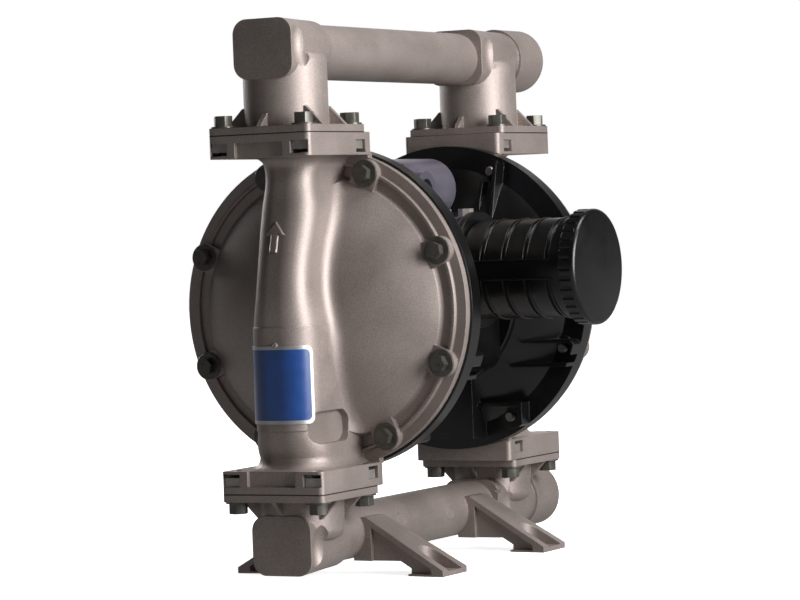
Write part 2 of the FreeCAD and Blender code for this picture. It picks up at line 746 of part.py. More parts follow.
def manifold(name, axis, joint, up):
    """A cast manifold: cross tube, two bosses, necks, flanges, gussets and the port; up is 1 or -1."""
    body = new_body(name)
    tube = circle(sketch_on(body, "tube_circle", SIDE, "-column_reach"), "0", axis, "tube_radius")
    pad(body, "cross_tube", tube, "2 * column_reach")
    level = f"({axis} + {up} * boss_shift)"
    manifold_boss(body, "blank_boss", "(-column_reach - blank_boss_before)", "(-column_reach + boss_after)",
                  level)
    manifold_boss(body, "port_boss", "(column_reach - port_boss_before)", "(column_reach + boss_after)",
                  level)
    ring = circle(sketch_on(body, "port_circle", SIDE, "column_reach + boss_after"), "0", axis,
                  "port_radius")
    pad(body, "port_ring", ring, "port_end - column_reach - boss_after")

    flange_face = f"({joint} + {up} * manifold_flange_thickness)"
    for side, reach in (("blank", "-column_reach"), ("port", "column_reach")):
        neck = sketch_on(body, f"{side}_neck_profile", FRONT, "0", (reach, "0"))
        top = f"{axis} - {up} * 1"
        outline(neck, [
            ("0", flange_face), ("neck_radius", flange_face), ("neck_radius", f"{top} - {up} * neck_round"),
            ("neck_radius - neck_round", top, "neck_round", up), ("0", top)])
        revolve(body, f"{side}_neck", neck, axis="V_Axis")
    slabs = sketch_on(body, "flange_outlines", PLAN, joint)
    for reach in ("-column_reach", "column_reach"):
        rounded_rectangle(slabs, f"({reach} - flange_length / 2)", f"({reach} + flange_length / 2)",
                          "-flange_width / 2", "flange_width / 2", "flange_corner")
    pad(body, "flanges", slabs, "manifold_flange_thickness", Reversed=(up < 0))

    rise = f"{up} * gusset_height"
    for side, reach in (("blank", "-column_reach"), ("port", "column_reach")):
        for place_name, sign in (("inner", 1), ("outer", -1)):
            ribs = sketch_on(body, f"{side}_{place_name}_rib_outline", SIDE,
                             f"{reach} + {sign} * gusset_offset")
            outline(ribs, [
                ("gusset_reach", flange_face), ("gusset_reach - gusset_height", f"{flange_face} + {rise}"),
                ("gusset_height - gusset_reach", f"{flange_face} + {rise}"),
                ("-gusset_reach", flange_face)])
            pad(body, f"{side}_{place_name}_ribs", ribs, "gusset_thickness", Midplane=True)
    along = sketch_on(body, "long_rib_outlines", FRONT, "0")
    for reach in ("-column_reach", "column_reach"):
        outline(along, [
            (f"{reach} + gusset_reach", flange_face),
            (f"{reach} + gusset_reach - gusset_height", f"{flange_face} + {rise}"),
            (f"{reach} - gusset_reach + gusset_height", f"{flange_face} + {rise}"),
            (f"{reach} - gusset_reach", flange_face)])
    pad(body, "long_ribs", along, "gusset_thickness", Midplane=True)
    return body


def manifold_bores(body, axis, joint, up):
    """Bores, ball cavities or seats, scallops and bolt holes of a manifold."""
    bore = circle(sketch_on(body, "tube_bore_circle", SIDE, "-column_reach - passage_radius"), "0", axis,
                  "passage_radius")
    pocket(body, "tube_bore", bore, "2 * column_reach + 3 * passage_radius", Reversed=True)
    mouth = circle(sketch_on(body, "port_bore_circle", SIDE, "port_end"), "0", axis, "port_bore_radius")
    pocket(body, "port_bore", mouth, "port_bore_depth + 0.01")
    rest = circle(sketch_on(body, "port_inner_circle", SIDE, "port_end - port_bore_depth"), "0", axis,
                  "passage_radius")
    pocket(body, "port_passage", rest, "port_end - column_reach - port_bore_depth")

    risers = sketch_on(body, "riser_circles", PLAN, joint)
    wide = sketch_on(body, "check_circles", PLAN, joint)
    room, depth = ("cavity_radius", "cavity_depth") if up > 0 else ("(seat_radius + seat_fit)",
                                                                    "seat_height")
    for reach in ("-column_reach", "column_reach"):
        circle(risers, reach, "0", "riser_radius")
        circle(wide, reach, "0", room)
    pocket(body, "risers", risers, f"{up} * ({axis} - {joint})", Reversed=(up > 0))
    pocket(body, "check_rooms", wide, depth, Reversed=(up > 0))
    if up > 0:
        for side, reach in (("blank", "-column_reach"), ("port", "column_reach")):
            cross = cross_outline(sketch_on(body, f"{side}_stop_cross", PLAN, f"{joint} + {stop_height}"),
                                  reach)
            pad(body, f"{side}_ball_stops", cross, f"cavity_depth - {stop_height}")

    holes = sketch_on(body, "flange_hole_circles", PLAN, joint)
    for reach in ("-column_reach", "column_reach"):
        for across, beside in CORNERS:
            circle(holes, f"({reach} + {across} * {half_pitch})", f"({beside} * {half_pitch})", hole_radius)
    pocket(body, "flange_holes", holes, "manifold_flange_thickness", Reversed=(up > 0))

    middle = f"({axis} + {up} * (boss_shift + scallop_rise))"
    beside = "(boss_half_width - scallop_depth + scallop_radius)"
    for boss, centre in (("blank", "(-column_reach - blank_boss_before + scallop_inset)"),
                         ("port", "(column_reach - port_boss_before + scallop_inset + 4)")):
        for flank, sign in (("front", -1), ("rear", 1)):
            scallop = sketch_on(body, f"{boss}_{flank}_scallop", SIDE, centre,
                                (f"{sign} * {beside}", middle))
            outline(scallop, [("0", "scallop_half_height", scallop_curve, 1),
                              ("0", "-scallop_half_height")])
            revolve(body, f"{boss}_{flank}_scallop_cut", scallop, "V_Axis", kind="Groove")


def outlet_manifold():
    """The top manifold, which holds the outlet balls in its necks."""
    body = manifold("outlet_manifold", "outlet_axis", "outlet_joint", 1)
    manifold_bores(body, "outlet_axis", "outlet_joint", 1)
    return hand_in(body, "outlet_manifold")


def add_foot(body, name, middle, side):
    """One foot: a sloping top plate on a web, with a slot open at the tip and a floor with a bolt hole."""
    reach, inner = f"({side} * foot_reach)", f"({side} * foot_inner_reach)"
    low = "foot_tip_height"
    slope_drop = "((foot_inner_height - foot_tip_height) / (foot_reach - foot_inner_reach))"
    plan = sketch_on(body, f"{name}_plan", PLAN, "0")
    root = f"({side} * tube_radius / 2)"
    half_top, half_tip = "foot_top_width / 2", "foot_tip_width / 2"
    outline(plan, [
        (f"({middle} + {half_top})", root), (f"({middle} + {half_tip})", reach),
        (f"({middle} - {half_tip})", reach), (f"({middle} - {half_top})", root)])
    pad(body, f"{name}_block", plan, "foot_inner_height")
    above = sketch_on(body, f"{name}_slope", SIDE, f"{middle} - foot_tip_width")
    outline(above, [
        (inner, "foot_inner_height"), (f"({reach} + {side})", f"({low} - {slope_drop})"),
        (f"({reach} + {side})", "foot_inner_height + 1"), (inner, "foot_inner_height + 1")])
    pocket(body, f"{name}_slope_cut", above, "2 * foot_tip_width", Reversed=True)
    under = sketch_on(body, f"{name}_arch", SIDE, f"{middle} - foot_tip_width")
    outline(under, [
        (f"({side} * foot_pad_inner)", "-1"), (f"({side} * foot_pad_inner)", "foot_underside / 2"),
        (f"({side} * (foot_pad_inner - foot_underside / 1.2))", "foot_underside"),
        (f"({side} * 0.1)", "foot_underside"),
        (f"({side} * 0.1)", "-1")])
    pocket(body, f"{name}_underside", under, "2 * foot_tip_width", Reversed=True)
    for edge, sign in (("left", -1), ("right", 1)):
        flank = sketch_on(body, f"{name}_{edge}_flank", SIDE,
                          f"{middle} + {sign} * (foot_top_width / 2 - foot_web_inset)")
        outline(flank, [
            (f"({side} * (foot_inner_reach + 4))", f"(foot_inner_height - foot_plate - 4 * {slope_drop})"),
            (f"({side} * (foot_reach - 10))", f"({low} + 10 * {slope_drop} - foot_plate)"),
            (f"({side} * (foot_reach - 10))", "1.5"), (f"({side} * (foot_inner_reach + 4))", "1.5")])
        pocket(body, f"{name}_{edge}_web", flank, "foot_tip_width", Reversed=(sign > 0))
    slot = sketch_on(body, f"{name}_slot", PLAN, "foot_floor")
    tip = f"({reach} + {side})"
    bend = f"({side} * (foot_slot_inner + foot_slot_radius))"
    outline(slot, [
        (f"({middle} + foot_slot_radius)", tip), (f"({middle} + foot_slot_radius)", bend),
        (middle, f"({side} * foot_slot_inner)", "foot_slot_radius", -side),
        (f"({middle} - foot_slot_radius)", bend, "foot_slot_radius", -side),
        (f"({middle} - foot_slot_radius)", tip)])
    pocket(body, f"{name}_slot_cut", slot, "foot_inner_height", Reversed=True)


def inlet_manifold():
    """The bottom manifold with its four feet; the inlet seats lie in its flanges."""
    body = manifold("inlet_manifold", "inlet_axis", "inlet_joint", -1)
    for end, middle in (("left", "-foot_pitch / 2"), ("right", "foot_pitch / 2")):
        for flank, side in (("front", -1), ("rear", 1)):
            add_foot(body, f"{end}_{flank}_foot", middle, side)
    manifold_bores(body, "inlet_axis", "inlet_joint", -1)
    foot_holes = sketch_on(body, "foot_hole_circles", PLAN, "foot_floor")
    for across, beside in CORNERS:
        circle(foot_holes, f"{across} * foot_pitch / 2", f"{beside} * foot_hole_pitch / 2",
               "foot_hole_radius")
    pocket(body, "foot_holes", foot_holes, "foot_floor + 1")
    return hand_in(body, "inlet_manifold")


def air_cover():
    """The moulded air cover behind a diaphragm, with its island, cone, bolt bays and ribs."""
    body = new_body("right_air_cover")
    profile = sketch_on(body, "dish_profile", FRONT, "0", ("0", "pump_centre"))
    cone_top = f"({air_outer_floor} + island_height)"
    outline(profile, [
        (air_outer_floor, "bearing_radius"), (air_outer_floor, "island_radius - 1"),
        (f"{air_outer_floor} + 1", "island_radius"), (cone_top, "island_radius + 0.5"),
        (f"{air_back} - cone_drop", "cone_radius"), (air_back, "(cone_radius + 4)"),
        (air_back, "air_cover_radius"), ("cover_seat", "air_cover_radius"),
        ("cover_seat", "air_joint_radius"), (air_seat, "air_joint_radius"),
        (air_seat, "chamber_radius"), (f"{air_seat} - 2", "(chamber_radius - 2)"),
        (air_floor, "air_floor_radius"), (air_floor, "bearing_radius")])
    revolve(body, "dish", profile)

    bays = sketch_on(body, "bay_outlines", SIDE, "air_rib_face")
    for sign in (1, -1):
        for grow in ("0", "air_rib"):
            near, far = f"({sign} * (bay_inner + {grow}))", f"({sign} * (bay_outer - {grow}))"
            left, right = (near, far) if sign > 0 else (far, near)
            rounded_rectangle(bays, left, right, f"pump_centre - bay_low + {grow}",
                              f"pump_centre - bay_high - {grow}", f"(bay_corner - {grow})")
    pad(body, "bolt_bays", bays, f"{air_back} - air_rib_face + 1")
    toes = sketch_on(body, "toe_outlines", SIDE, "air_rib_face")
    for sign in (1, -1):
        near, far = f"({sign} * toe_inner)", f"({sign} * toe_outer)"
        inset = f"({sign} * (toe_outer - air_rib))"
        low = "pump_centre - leg_end"
        outline(toes, [
            (near, "pump_centre - toe_high"), (near, "pump_centre - toe_high - air_rib"),
            (inset, "pump_centre - toe_high - air_rib"), (inset, low), (far, low),
            (far, "pump_centre - toe_high")])
    pad(body, "toe_ribs", toes, f"{air_back} - air_rib_face + 1")
    uprights = sketch_on(body, "upright_outlines", SIDE, "air_rib_face")
    for sign in (1, -1):
        outline(uprights, [(f"({sign} * {u})", f"pump_centre + {v}") for u,
                           v in ((44, 60), (47, 60), (52.5, 103), (49.5, 103))])
        outline(uprights, [(f"({sign} * {u})", f"pump_centre + {v}") for u,
                           v in ((31.5, 60), (34.5, 60), (40, 89), (38, 89))])
    pad(body, "upright_ribs", uprights, f"{air_back} - air_rib_face + 1")
    leg = sketch_on(body, "leg_outline", SIDE, "leg_face")
    rectangle(leg, "-leg_half_width", "leg_half_width", "pump_centre - leg_end",
              "pump_centre - air_floor_radius - 1")
    pad(body, "leg", leg, f"{air_back} - leg_face + 1")
    trim = sketch_on(body, "rim_trim_profile", FRONT, "0", ("0", "pump_centre"))
    rectangle(trim, "leg_face - 2", "cover_seat + 1", "air_cover_radius",
              "air_cover_radius + 40")
    revolve(body, "rim_trim", trim, kind="Groove")
    hollow = sketch_on(body, "cavity_profile", FRONT, "0", ("0", "pump_centre"))
    outline(hollow, [
        (air_floor, "bearing_radius"), (air_floor, "air_floor_radius"),
        (f"{air_seat} - 2", "(chamber_radius - 2)"),
        (air_seat, "chamber_radius"), (f"{air_seat} + 1", "chamber_radius"),
        (f"{air_seat} + 1", "bearing_radius")])
    revolve(body, "cavity", hollow, kind="Groove")

    bosses = sketch_on(body, "boss_circles", SIDE, boss_back)
    for y, z in cover_bolt_places():
        circle(bosses, y, z, "air_boss_radius")
    pad(body, "bolt_bosses", bosses, "air_boss_height + 1")
    holes = sketch_on(body, "thread_circles", SIDE, boss_back)
    for y, z in cover_bolt_places():
        circle(holes, y, z, "(bolt_radius + thread_clearance)")
    pocket(body, "threaded_holes", holes, f"cover_seat - {boss_back}", Reversed=True)
    pins = circle(sketch_on(body, "pilot_circle", SIDE, air_outer_floor), "0",
                  "(pump_centre + pilot_offset)", "(pilot_radius + shaft_fit)")
    pocket(body, "pilot_hole", pins, "air_wall + 1", Reversed=True)
    return hand_in(body, "right_air_cover")


def centre_housing():
    """The moulded centre section that carries the shaft bearings, the air valve and the muffler."""
    body = new_body("centre_housing")
    block = sketch_on(body, "block_outline", SIDE, f"-{air_outer_floor}")
    rounded_rectangle(block, "-centre_half_width", "centre_half_width", "centre_bottom", "centre_top",
                      "centre_corner")
    pad(body, "block", block, f"2 * {air_outer_floor}")
    nose = sketch_on(body, "exhaust_nose_outline", FRONT, "centre_half_width - 10")
    outline(nose, [
        ("muffler_plate_half_width", muffler_plate_low, "muffler_plate_radius", 1),
        ("muffler_plate_half_width", "centre_top - 2"), ("-muffler_plate_half_width", "centre_top - 2"),
        ("-muffler_plate_half_width", muffler_plate_low)])
    pad(body, "exhaust_nose", nose,
        "muffler_base - muffler_plate_thickness - muffler_gasket_thickness - centre_half_width + 10")
    shelf = sketch_on(body, "valve_shelf_outline", PLAN, "centre_top - valve_plate_thickness * 2")
    rectangle(shelf, "-valve_plate_half_length", "valve_plate_half_length", "-valve_plate_front", "0")
    pad(body, "valve_shelf", shelf, "2 * valve_plate_thickness")
    shaft = circle(sketch_on(body, "shaft_circle", SIDE, f"-{air_outer_floor}"), "0", "pump_centre",
                   "(shaft_radius + 1)")
    pocket(body, "shaft_bore", shaft, f"2 * {air_outer_floor}", Reversed=True)
    for side, start in (("left", f"-{air_outer_floor}"), ("right",
                                                          f"({air_outer_floor} - bearing_length)")):
        seat = circle(sketch_on(body, f"{side}_bearing_circle", SIDE, start), "0", "pump_centre",
                      "bearing_radius")
        pocket(body, f"{side}_bearing_seat", seat, "bearing_length", Reversed=True)
    pins = circle(sketch_on(body, "pilot_circle", SIDE, f"-{air_outer_floor}"), "0",
                  "(pump_centre + pilot_offset)", "(pilot_radius + shaft_fit)")
    pocket(body, "pilot_bore", pins, f"2 * {air_outer_floor}", Reversed=True)
    exhaust = circle(sketch_on(body, "exhaust_circle", FRONT, "muffler_base"), "0", "muffler_axis_height",
                     "(muffler_neck_radius + thread_clearance)")
    pocket(body, "exhaust_port", exhaust, "muffler_neck_depth + 12")
    taps = sketch_on(body, "valve_thread_circles", PLAN, "centre_top")
    for sign in (1, -1):
        circle(taps, f"{sign} * valve_bolt_offset", "-valve_bolt_front",
               "(valve_bolt_radius + thread_clearance)")
        circle(taps, f"{sign} * valve_bolt_offset", "valve_plate_back - 8",
               "(valve_bolt_radius + thread_clearance)")
    pocket(body, "valve_threads", taps, "valve_plate_thickness * 2")
    return hand_in(body, "centre_housing")


def muffler_outline(made):
    """The outline of the muffler's plate: an arch above and below, with two upright sides."""
    return outline(made, [
        ("muffler_plate_half_width", muffler_plate_low, "muffler_plate_radius", 1),
        ("muffler_plate_half_width", muffler_plate_high),
        ("-muffler_plate_half_width", muffler_plate_high, "muffler_plate_radius", 1),
        ("-muffler_plate_half_width", muffler_plate_low)])


def muffler_parts():
    """The exhaust muffler: gasket, plate, slotted tube and fluted cap."""
    gasket_start = "(muffler_base - muffler_plate_thickness - muffler_gasket_thickness)"
    for label, start, thickness in (("muffler_gasket", gasket_start, "muffler_gasket_thickness"),
                                    ("muffler_plate", "(muffler_base - muffler_plate_thickness)",
                                     "muffler_plate_thickness")):
        body = new_body(label)
        pad(body, f"{label}_pad", muffler_outline(sketch_on(body, f"{label}_outline", FRONT, start)),
            thickness)
        holes = sketch_on(body, f"{label}_hole_circles", FRONT, start)
        circle(holes, "0", "muffler_axis_height", "(muffler_neck_radius + thread_clearance)")
        pocket(body, f"{label}_holes", holes, thickness, Reversed=True)
        hand_in(body, label)

    tube = new_body("muffler_body")
    profile = sketch_on(tube, "tube_profile", SIDE, "0", ("0", "muffler_axis_height"))
    end = "(muffler_end - cap_wall - cap_fit)"
    outline(profile, [
        ("-(muffler_base - muffler_neck_depth)", "muffler_neck_radius - muffler_wall"),
        ("-(muffler_base - muffler_neck_depth)", "muffler_neck_radius"),
        ("-muffler_base", "muffler_neck_radius"),
        ("-muffler_base", "muffler_radius - 2"), ("-(muffler_base + 2)", "muffler_radius"),
        (f"-{end}", "muffler_radius"), (f"-{end}", "muffler_radius - muffler_wall"),
        ("-(muffler_base + muffler_wall)", "muffler_radius - muffler_wall"),
        ("-(muffler_base + muffler_wall)", "muffler_neck_radius - muffler_wall")])
    revolve(tube, "tube", profile)
    for side, sign in (("upper", 1), ("lower", -1)):
        slits = sketch_on(tube, f"{side}_slit_outlines", SIDE, "0", ("0", "muffler_axis_height"))
        for turn in range(4):
            start = f"(muffler_base + slit_first + {turn} * slit_pitch)"
            low, high = "-muffler_radius - 1", "slit_depth - muffler_radius"
            if sign > 0:
                low, high = "muffler_radius - slit_depth", "muffler_radius + 1"
            rectangle(slits, f"-{start} - slit_width", f"-{start}", low, high)
        revolve(tube, f"{side}_slits", slits, kind="Groove", angle="slit_angle", Midplane=True)
    hand_in(tube, "muffler_body")

    cap = new_body("muffler_cap")
    shape = sketch_on(cap, "cap_profile", SIDE, "0", ("0", "muffler_axis_height"))
    back, fit = "(muffler_end - cap_length)", "(muffler_radius + cap_fit)"
    outline(shape, [
        ("-muffler_end", "0"), ("-muffler_end", "cap_radius - cap_round"),
        ("-(muffler_end - cap_round)", "cap_radius", "cap_round", -1),
        (f"-{back}", "cap_radius"), (f"-{back}", fit), ("-(muffler_end - cap_wall)", fit),
        ("-(muffler_end - cap_wall)", "0")])
    revolve(cap, "cap_shell", shape)
    flute = circle(sketch_on(cap, "flute_circle", FRONT, f"{back} - 1"), "0",
                   "(muffler_axis_height + cap_radius + flute_radius / 3)", "flute_radius")
    cutter = pocket(cap, "flute", flute, "cap_length - cap_round", Reversed=True)
    flutes = cap.newObject("PartDesign::PolarPattern", "flutes")
    flutes.Originals = [cutter]
    flutes.Axis = (shape, ["H_Axis"])
    flutes.Angle = 360
    bind(flutes, "Occurrences", "flute_count")
    cap.Tip = flutes
    hand_in(cap, "muffler_cap")


def air_valve():
    """The air valve on top of the centre section: housing with the air inlet, gasket, spool and end caps."""
    floor = "(centre_top + valve_gasket_thickness)"
    spine_y = "-valve_axis_set_forward"
    gasket = new_body("valve_gasket")
    shape = rectangle(sketch_on(gasket, "gasket_outline", PLAN, "centre_top"), "-valve_plate_half_length",
                      "valve_plate_half_length", "-valve_plate_front", "valve_plate_back")
    pad(gasket, "gasket_sheet", shape, "valve_gasket_thickness")
    holes = valve_bolt_circles(sketch_on(gasket, "gasket_hole_circles", PLAN, "centre_top"))
    pocket(gasket, "gasket_holes", holes, "valve_gasket_thickness", Reversed=True)
    hand_in(gasket, "valve_gasket")

    body = new_body("air_valve_housing")
    barrel = circle(sketch_on(body, "barrel_circle", SIDE, "-valve_half_length"), spine_y,
                    "valve_axis_height", "valve_radius")
    pad(body, "barrel", barrel, "2 * valve_half_length")
    stand = sketch_on(body, "pedestal_outline", PLAN, floor)
    rounded_rectangle(stand, "-valve_pedestal_half_length", "valve_pedestal_half_length",
                      f"({spine_y} - valve_radius + 2)", f"({spine_y} + valve_radius - 2)", "6")
    pad(body, "pedestal", stand, f"valve_axis_height - {floor}")
    base = sketch_on(body, "plate_outline", PLAN, floor)
    rounded_rectangle(base, "-valve_plate_half_length", "valve_plate_half_length", "-valve_plate_front",
                      "valve_plate_back", "8")
    pad(body, "mounting_plate", base, "valve_plate_thickness")
    port_height = "(valve_axis_height - air_port_drop)"
    boss = circle(sketch_on(body, "port_boss_circle", FRONT, "valve_axis_set_forward"), "0", port_height,
                  "air_port_boss_radius")
    pad(body, "port_boss", boss, "air_port_face - valve_axis_set_forward")
    mouth = circle(sketch_on(body, "port_circle", FRONT, "air_port_face"), "0", port_height,
                   "air_port_radius")
    pocket(body, "air_port", mouth, "air_port_depth")
    feed = circle(sketch_on(body, "feed_circle", FRONT, "air_port_face - air_port_depth"), "0", port_height,
                  "air_port_radius / 2")
    pocket(body, "feed_hole", feed, "air_port_face - air_port_depth - valve_axis_set_forward")
    spool_bore = circle(sketch_on(body, "spool_circle", SIDE, "-valve_half_length"), spine_y,
                        "valve_axis_height", "(spool_radius + spool_fit)")
    pocket(body, "spool_bore", spool_bore, "2 * valve_half_length", Reversed=True)
    holes = valve_bolt_circles(sketch_on(body, "plate_hole_circles", PLAN, floor))
    pocket(body, "plate_holes", holes, "valve_plate_thickness", Reversed=True)
    hand_in(body, "air_valve_housing")

    turned_piece("right_valve_end_cap", FRONT, [
        ("valve_half_length", "0"), ("valve_half_length", "end_cap_radius"),
        ("valve_half_length + end_cap_thickness - 1.5", "end_cap_radius"),
        ("valve_half_length + end_cap_thickness", "end_cap_radius - 1.5"),
        ("valve_half_length + end_cap_thickness", "0")], spine_offset(), ("0", "valve_axis_height"))
    mirrored("left_valve_end_cap", handed_in[-1])
    groove = "(spool_radius - spool_groove_depth)"
    turned_piece("valve_spool", FRONT, [
        ("-spool_half_length", "0"), ("-spool_half_length", "spool_radius"),
        ("-0.68 * spool_half_length", "spool_radius"),
        ("-0.68 * spool_half_length", groove), ("-0.2 * spool_half_length", groove),
        ("-0.2 * spool_half_length", "spool_radius"),
        ("0.2 * spool_half_length", "spool_radius"), ("0.2 * spool_half_length", groove),
        ("0.68 * spool_half_length", groove),
        ("0.68 * spool_half_length", "spool_radius"), ("spool_half_length", "spool_radius"),
        ("spool_half_length", "0")],
        spine_offset(), ("0", "valve_axis_height"))

    bolts = []
    seat = f"({floor} + valve_plate_thickness)"
    for number, (x, y) in enumerate(valve_bolt_places()):
        stem = cylinder(f"valve_bolt_stem_{number}", "valve_bolt_radius",
                        "valve_plate_thickness + valve_gasket_thickness + 8", x, y,
                        f"{seat} - valve_plate_thickness - valve_gasket_thickness - 8")
        head = hexagon(f"valve_bolt_head_{number}", "valve_bolt_flats", "valve_bolt_head", x, y, seat)
        bolts.append(fused(f"valve_bolt_{number}", [stem, head]))
    group("valve_bolts", bolts)


def spine_offset():
    """How far the valve's own plane lies in front of the middle plane."""
    return "valve_axis_set_forward"


def valve_bolt_places():
    """X and Y of the four bolts of the valve housing."""
    return [(f"({sign} * valve_bolt_offset)", y) for y in ("-valve_bolt_front",
                                                           "(valve_plate_back - 8)") for sign in (1, -1)]


def valve_bolt_circles(made):
    """Clearance holes for the bolts of the valve housing."""
    for x, y in valve_bolt_places():
        circle(made, x, y, "(valve_bolt_radius + bolt_clearance / 2)")
    return made


def diaphragm_group():
    """The moving shaft with its plates and bolts, and the two diaphragms."""
    level = ("0", "pump_centre")
    hole = "(shaft_bolt_radius + shaft_fit)"
    turned_piece("right_diaphragm", FRONT, [
        (diaphragm_inner, hole), (diaphragm_inner, "diaphragm_flat"), (air_seat, "(chamber_radius - 4)"),
        (air_seat, "diaphragm_radius"),
        ("cover_seat", "diaphragm_radius"), ("cover_seat", "(chamber_radius - 4)"),
        (diaphragm_outer, "diaphragm_flat"), (diaphragm_outer, hole)],
        origin=level)
    mirrored("left_diaphragm", handed_in[-1])
    turned_piece("right_air_plate", FRONT, [
        (air_plate_inner, "(shaft_bolt_radius + shaft_fit)"), (air_plate_inner, "plate_radius / 2"),
        (f"{air_plate_inner} + 1.5", "plate_radius"),
        (diaphragm_inner, "plate_radius"), (diaphragm_inner, "(shaft_bolt_radius + shaft_fit)")],
        origin=level)
    mirrored("left_air_plate", handed_in[-1])
    turned_piece("right_fluid_plate", FRONT, [
        (diaphragm_outer, hole), (diaphragm_outer, "plate_radius"),
        (f"{diaphragm_outer} + 3", "plate_radius"),
        (fluid_plate_outer, "plate_radius / 2"), (fluid_plate_outer, hole)], origin=level)
    mirrored("left_fluid_plate", handed_in[-1])
    turned_piece("right_shaft_bolt", FRONT, [
        (f"{fluid_plate_outer} - shaft_bolt_length", "0"), (f"{fluid_plate_outer} - shaft_bolt_length",
                                                            "shaft_bolt_radius"),
        (fluid_plate_outer, "shaft_bolt_radius"), (fluid_plate_outer, "shaft_bolt_head_radius"),
        (f"{fluid_plate_outer} + shaft_bolt_head_height - 1", "shaft_bolt_head_radius"),
        (f"{fluid_plate_outer} + shaft_bolt_head_height", "shaft_bolt_head_radius - 1"),
        (f"{fluid_plate_outer} + shaft_bolt_head_height", "0")],
        origin=level)
    mirrored("left_shaft_bolt", handed_in[-1])
    depth = f"({fluid_plate_outer} - shaft_bolt_length - 3)"
    turned_piece("diaphragm_shaft", FRONT, [
        (f"-{air_plate_inner}", hole), (f"-{air_plate_inner}", "shaft_radius"),
        (air_plate_inner, "shaft_radius"), (air_plate_inner, hole),
        (depth, hole), (depth, "0"), (f"-{depth}", "0"), (f"-{depth}", hole)], origin=level)
    bush = "(shaft_radius + shaft_fit)"
    turned_piece("right_shaft_bearing", FRONT, [
        (f"{air_outer_floor} - bearing_length", bush), (f"{air_outer_floor} - bearing_length",
                                                        "bearing_radius"),
        (air_outer_floor, "bearing_radius"), (air_outer_floor, bush)], origin=level)
    mirrored("left_shaft_bearing", handed_in[-1])
    turned_piece("right_shaft_seal", FRONT, [
        (f"{air_floor} - seal_width", bush), (f"{air_floor} - seal_width", "bearing_radius"),
        (air_floor, "bearing_radius"), (air_floor, bush)], origin=level)
    mirrored("left_shaft_seal", handed_in[-1])
    turned_piece("right_pilot_pin", FRONT, [
        (f"{air_floor} + pilot_proud - pilot_length", "0"), (f"{air_floor} + pilot_proud - pilot_length",
                                                             "pilot_radius"),
        (f"{air_floor} + pilot_proud - 0.8", "pilot_radius"),
        (f"{air_floor} + pilot_proud", "pilot_radius - 0.8"),
        (f"{air_floor} + pilot_proud", "0")], origin=("0", "(pump_centre + pilot_offset)"))
    mirrored("left_pilot_pin", handed_in[-1])


def ball_checks():
    """The four ball checks: seat, seal ring and ball in each neck."""
    for row, top in (("inlet", "inlet_joint"), ("outlet", "outlet_joint")):
        step = "(2 * (seal_section + seal_gap))"
        turned_piece(f"right_{row}_seat", FRONT, [
            ("seat_bore", f"({top} - seat_height)"), ("seat_radius", f"({top} - seat_height)"),
            ("seat_radius", f"({top} - {step})"),
            (f"seat_radius - {step}", f"({top} - {step})"), (f"seat_radius - {step}", top),
            ("seat_bore + seat_chamfer", top),
            ("seat_bore", f"({top} - seat_chamfer)")], origin=("column_reach", "0"), axis="V_Axis")
        mirrored(f"left_{row}_seat", handed_in[-1])
        ring = doc.addObject("Part::Torus", f"right_{row}_seal")
        bind(ring, "Radius1", "seat_radius - seal_section - seal_gap")
        bind(ring, "Radius2", "seal_section")
        place(ring, "column_reach", "0", f"{top} - seal_section - seal_gap")
        other = doc.addObject("Part::Torus", f"left_{row}_seal")
        bind(other, "Radius1", "seat_radius - seal_section - seal_gap")
        bind(other, "Radius2", "seal_section")
        place(other, "-column_reach", "0", f"{top} - seal_section - seal_gap")
        group(f"{row}_seat_seals", [ring, other])
        for side, sign in (("right", ""), ("left", "-")):
            ball = doc.addObject("Part::Sphere", f"{side}_{row}_ball")
            bind(ball, "Radius", "ball_radius")
            place(ball, f"{sign}column_reach", "0", f"{top} + {ball_rise}")
            hand_in(ball, f"{side}_{row}_ball")


def cover_fasteners():
    """Eight bolts and washers for each fluid cover."""
    for side, sign, direction in (("left", "-", "-X"), ("right", "", "X")):
        bolts, washers = [], []
        for number, (y, z) in enumerate(cover_bolt_places()):
            name = f"{side}_cover_{number}"
            seat = f"{sign}{boss_front}"
            outer = cylinder(f"{name}_washer_disc", "washer_radius", "washer_thickness", seat, y, z,
                             direction)
            inner = cylinder(f"{name}_washer_hole", hole_radius, "washer_thickness", seat, y, z, direction)
            washers.append(cut(f"{name}_washer", outer, inner))
            start = f"{sign}({boss_front} + washer_thickness)"
            head = hexagon(f"{name}_head", "head_flats", "head_height", start, y, z, direction)
            tip = f"({boss_back} - bolt_tip)"
            stem = cylinder(f"{name}_stem", "bolt_radius", f"{boss_front} + washer_thickness - {tip}",
                            f"{sign}{tip}", y, z, direction)
            bolts.append(fused(f"{name}_bolt", [head, stem]))
        group(f"{side}_cover_bolts", bolts)
        group(f"{side}_cover_washers", washers)


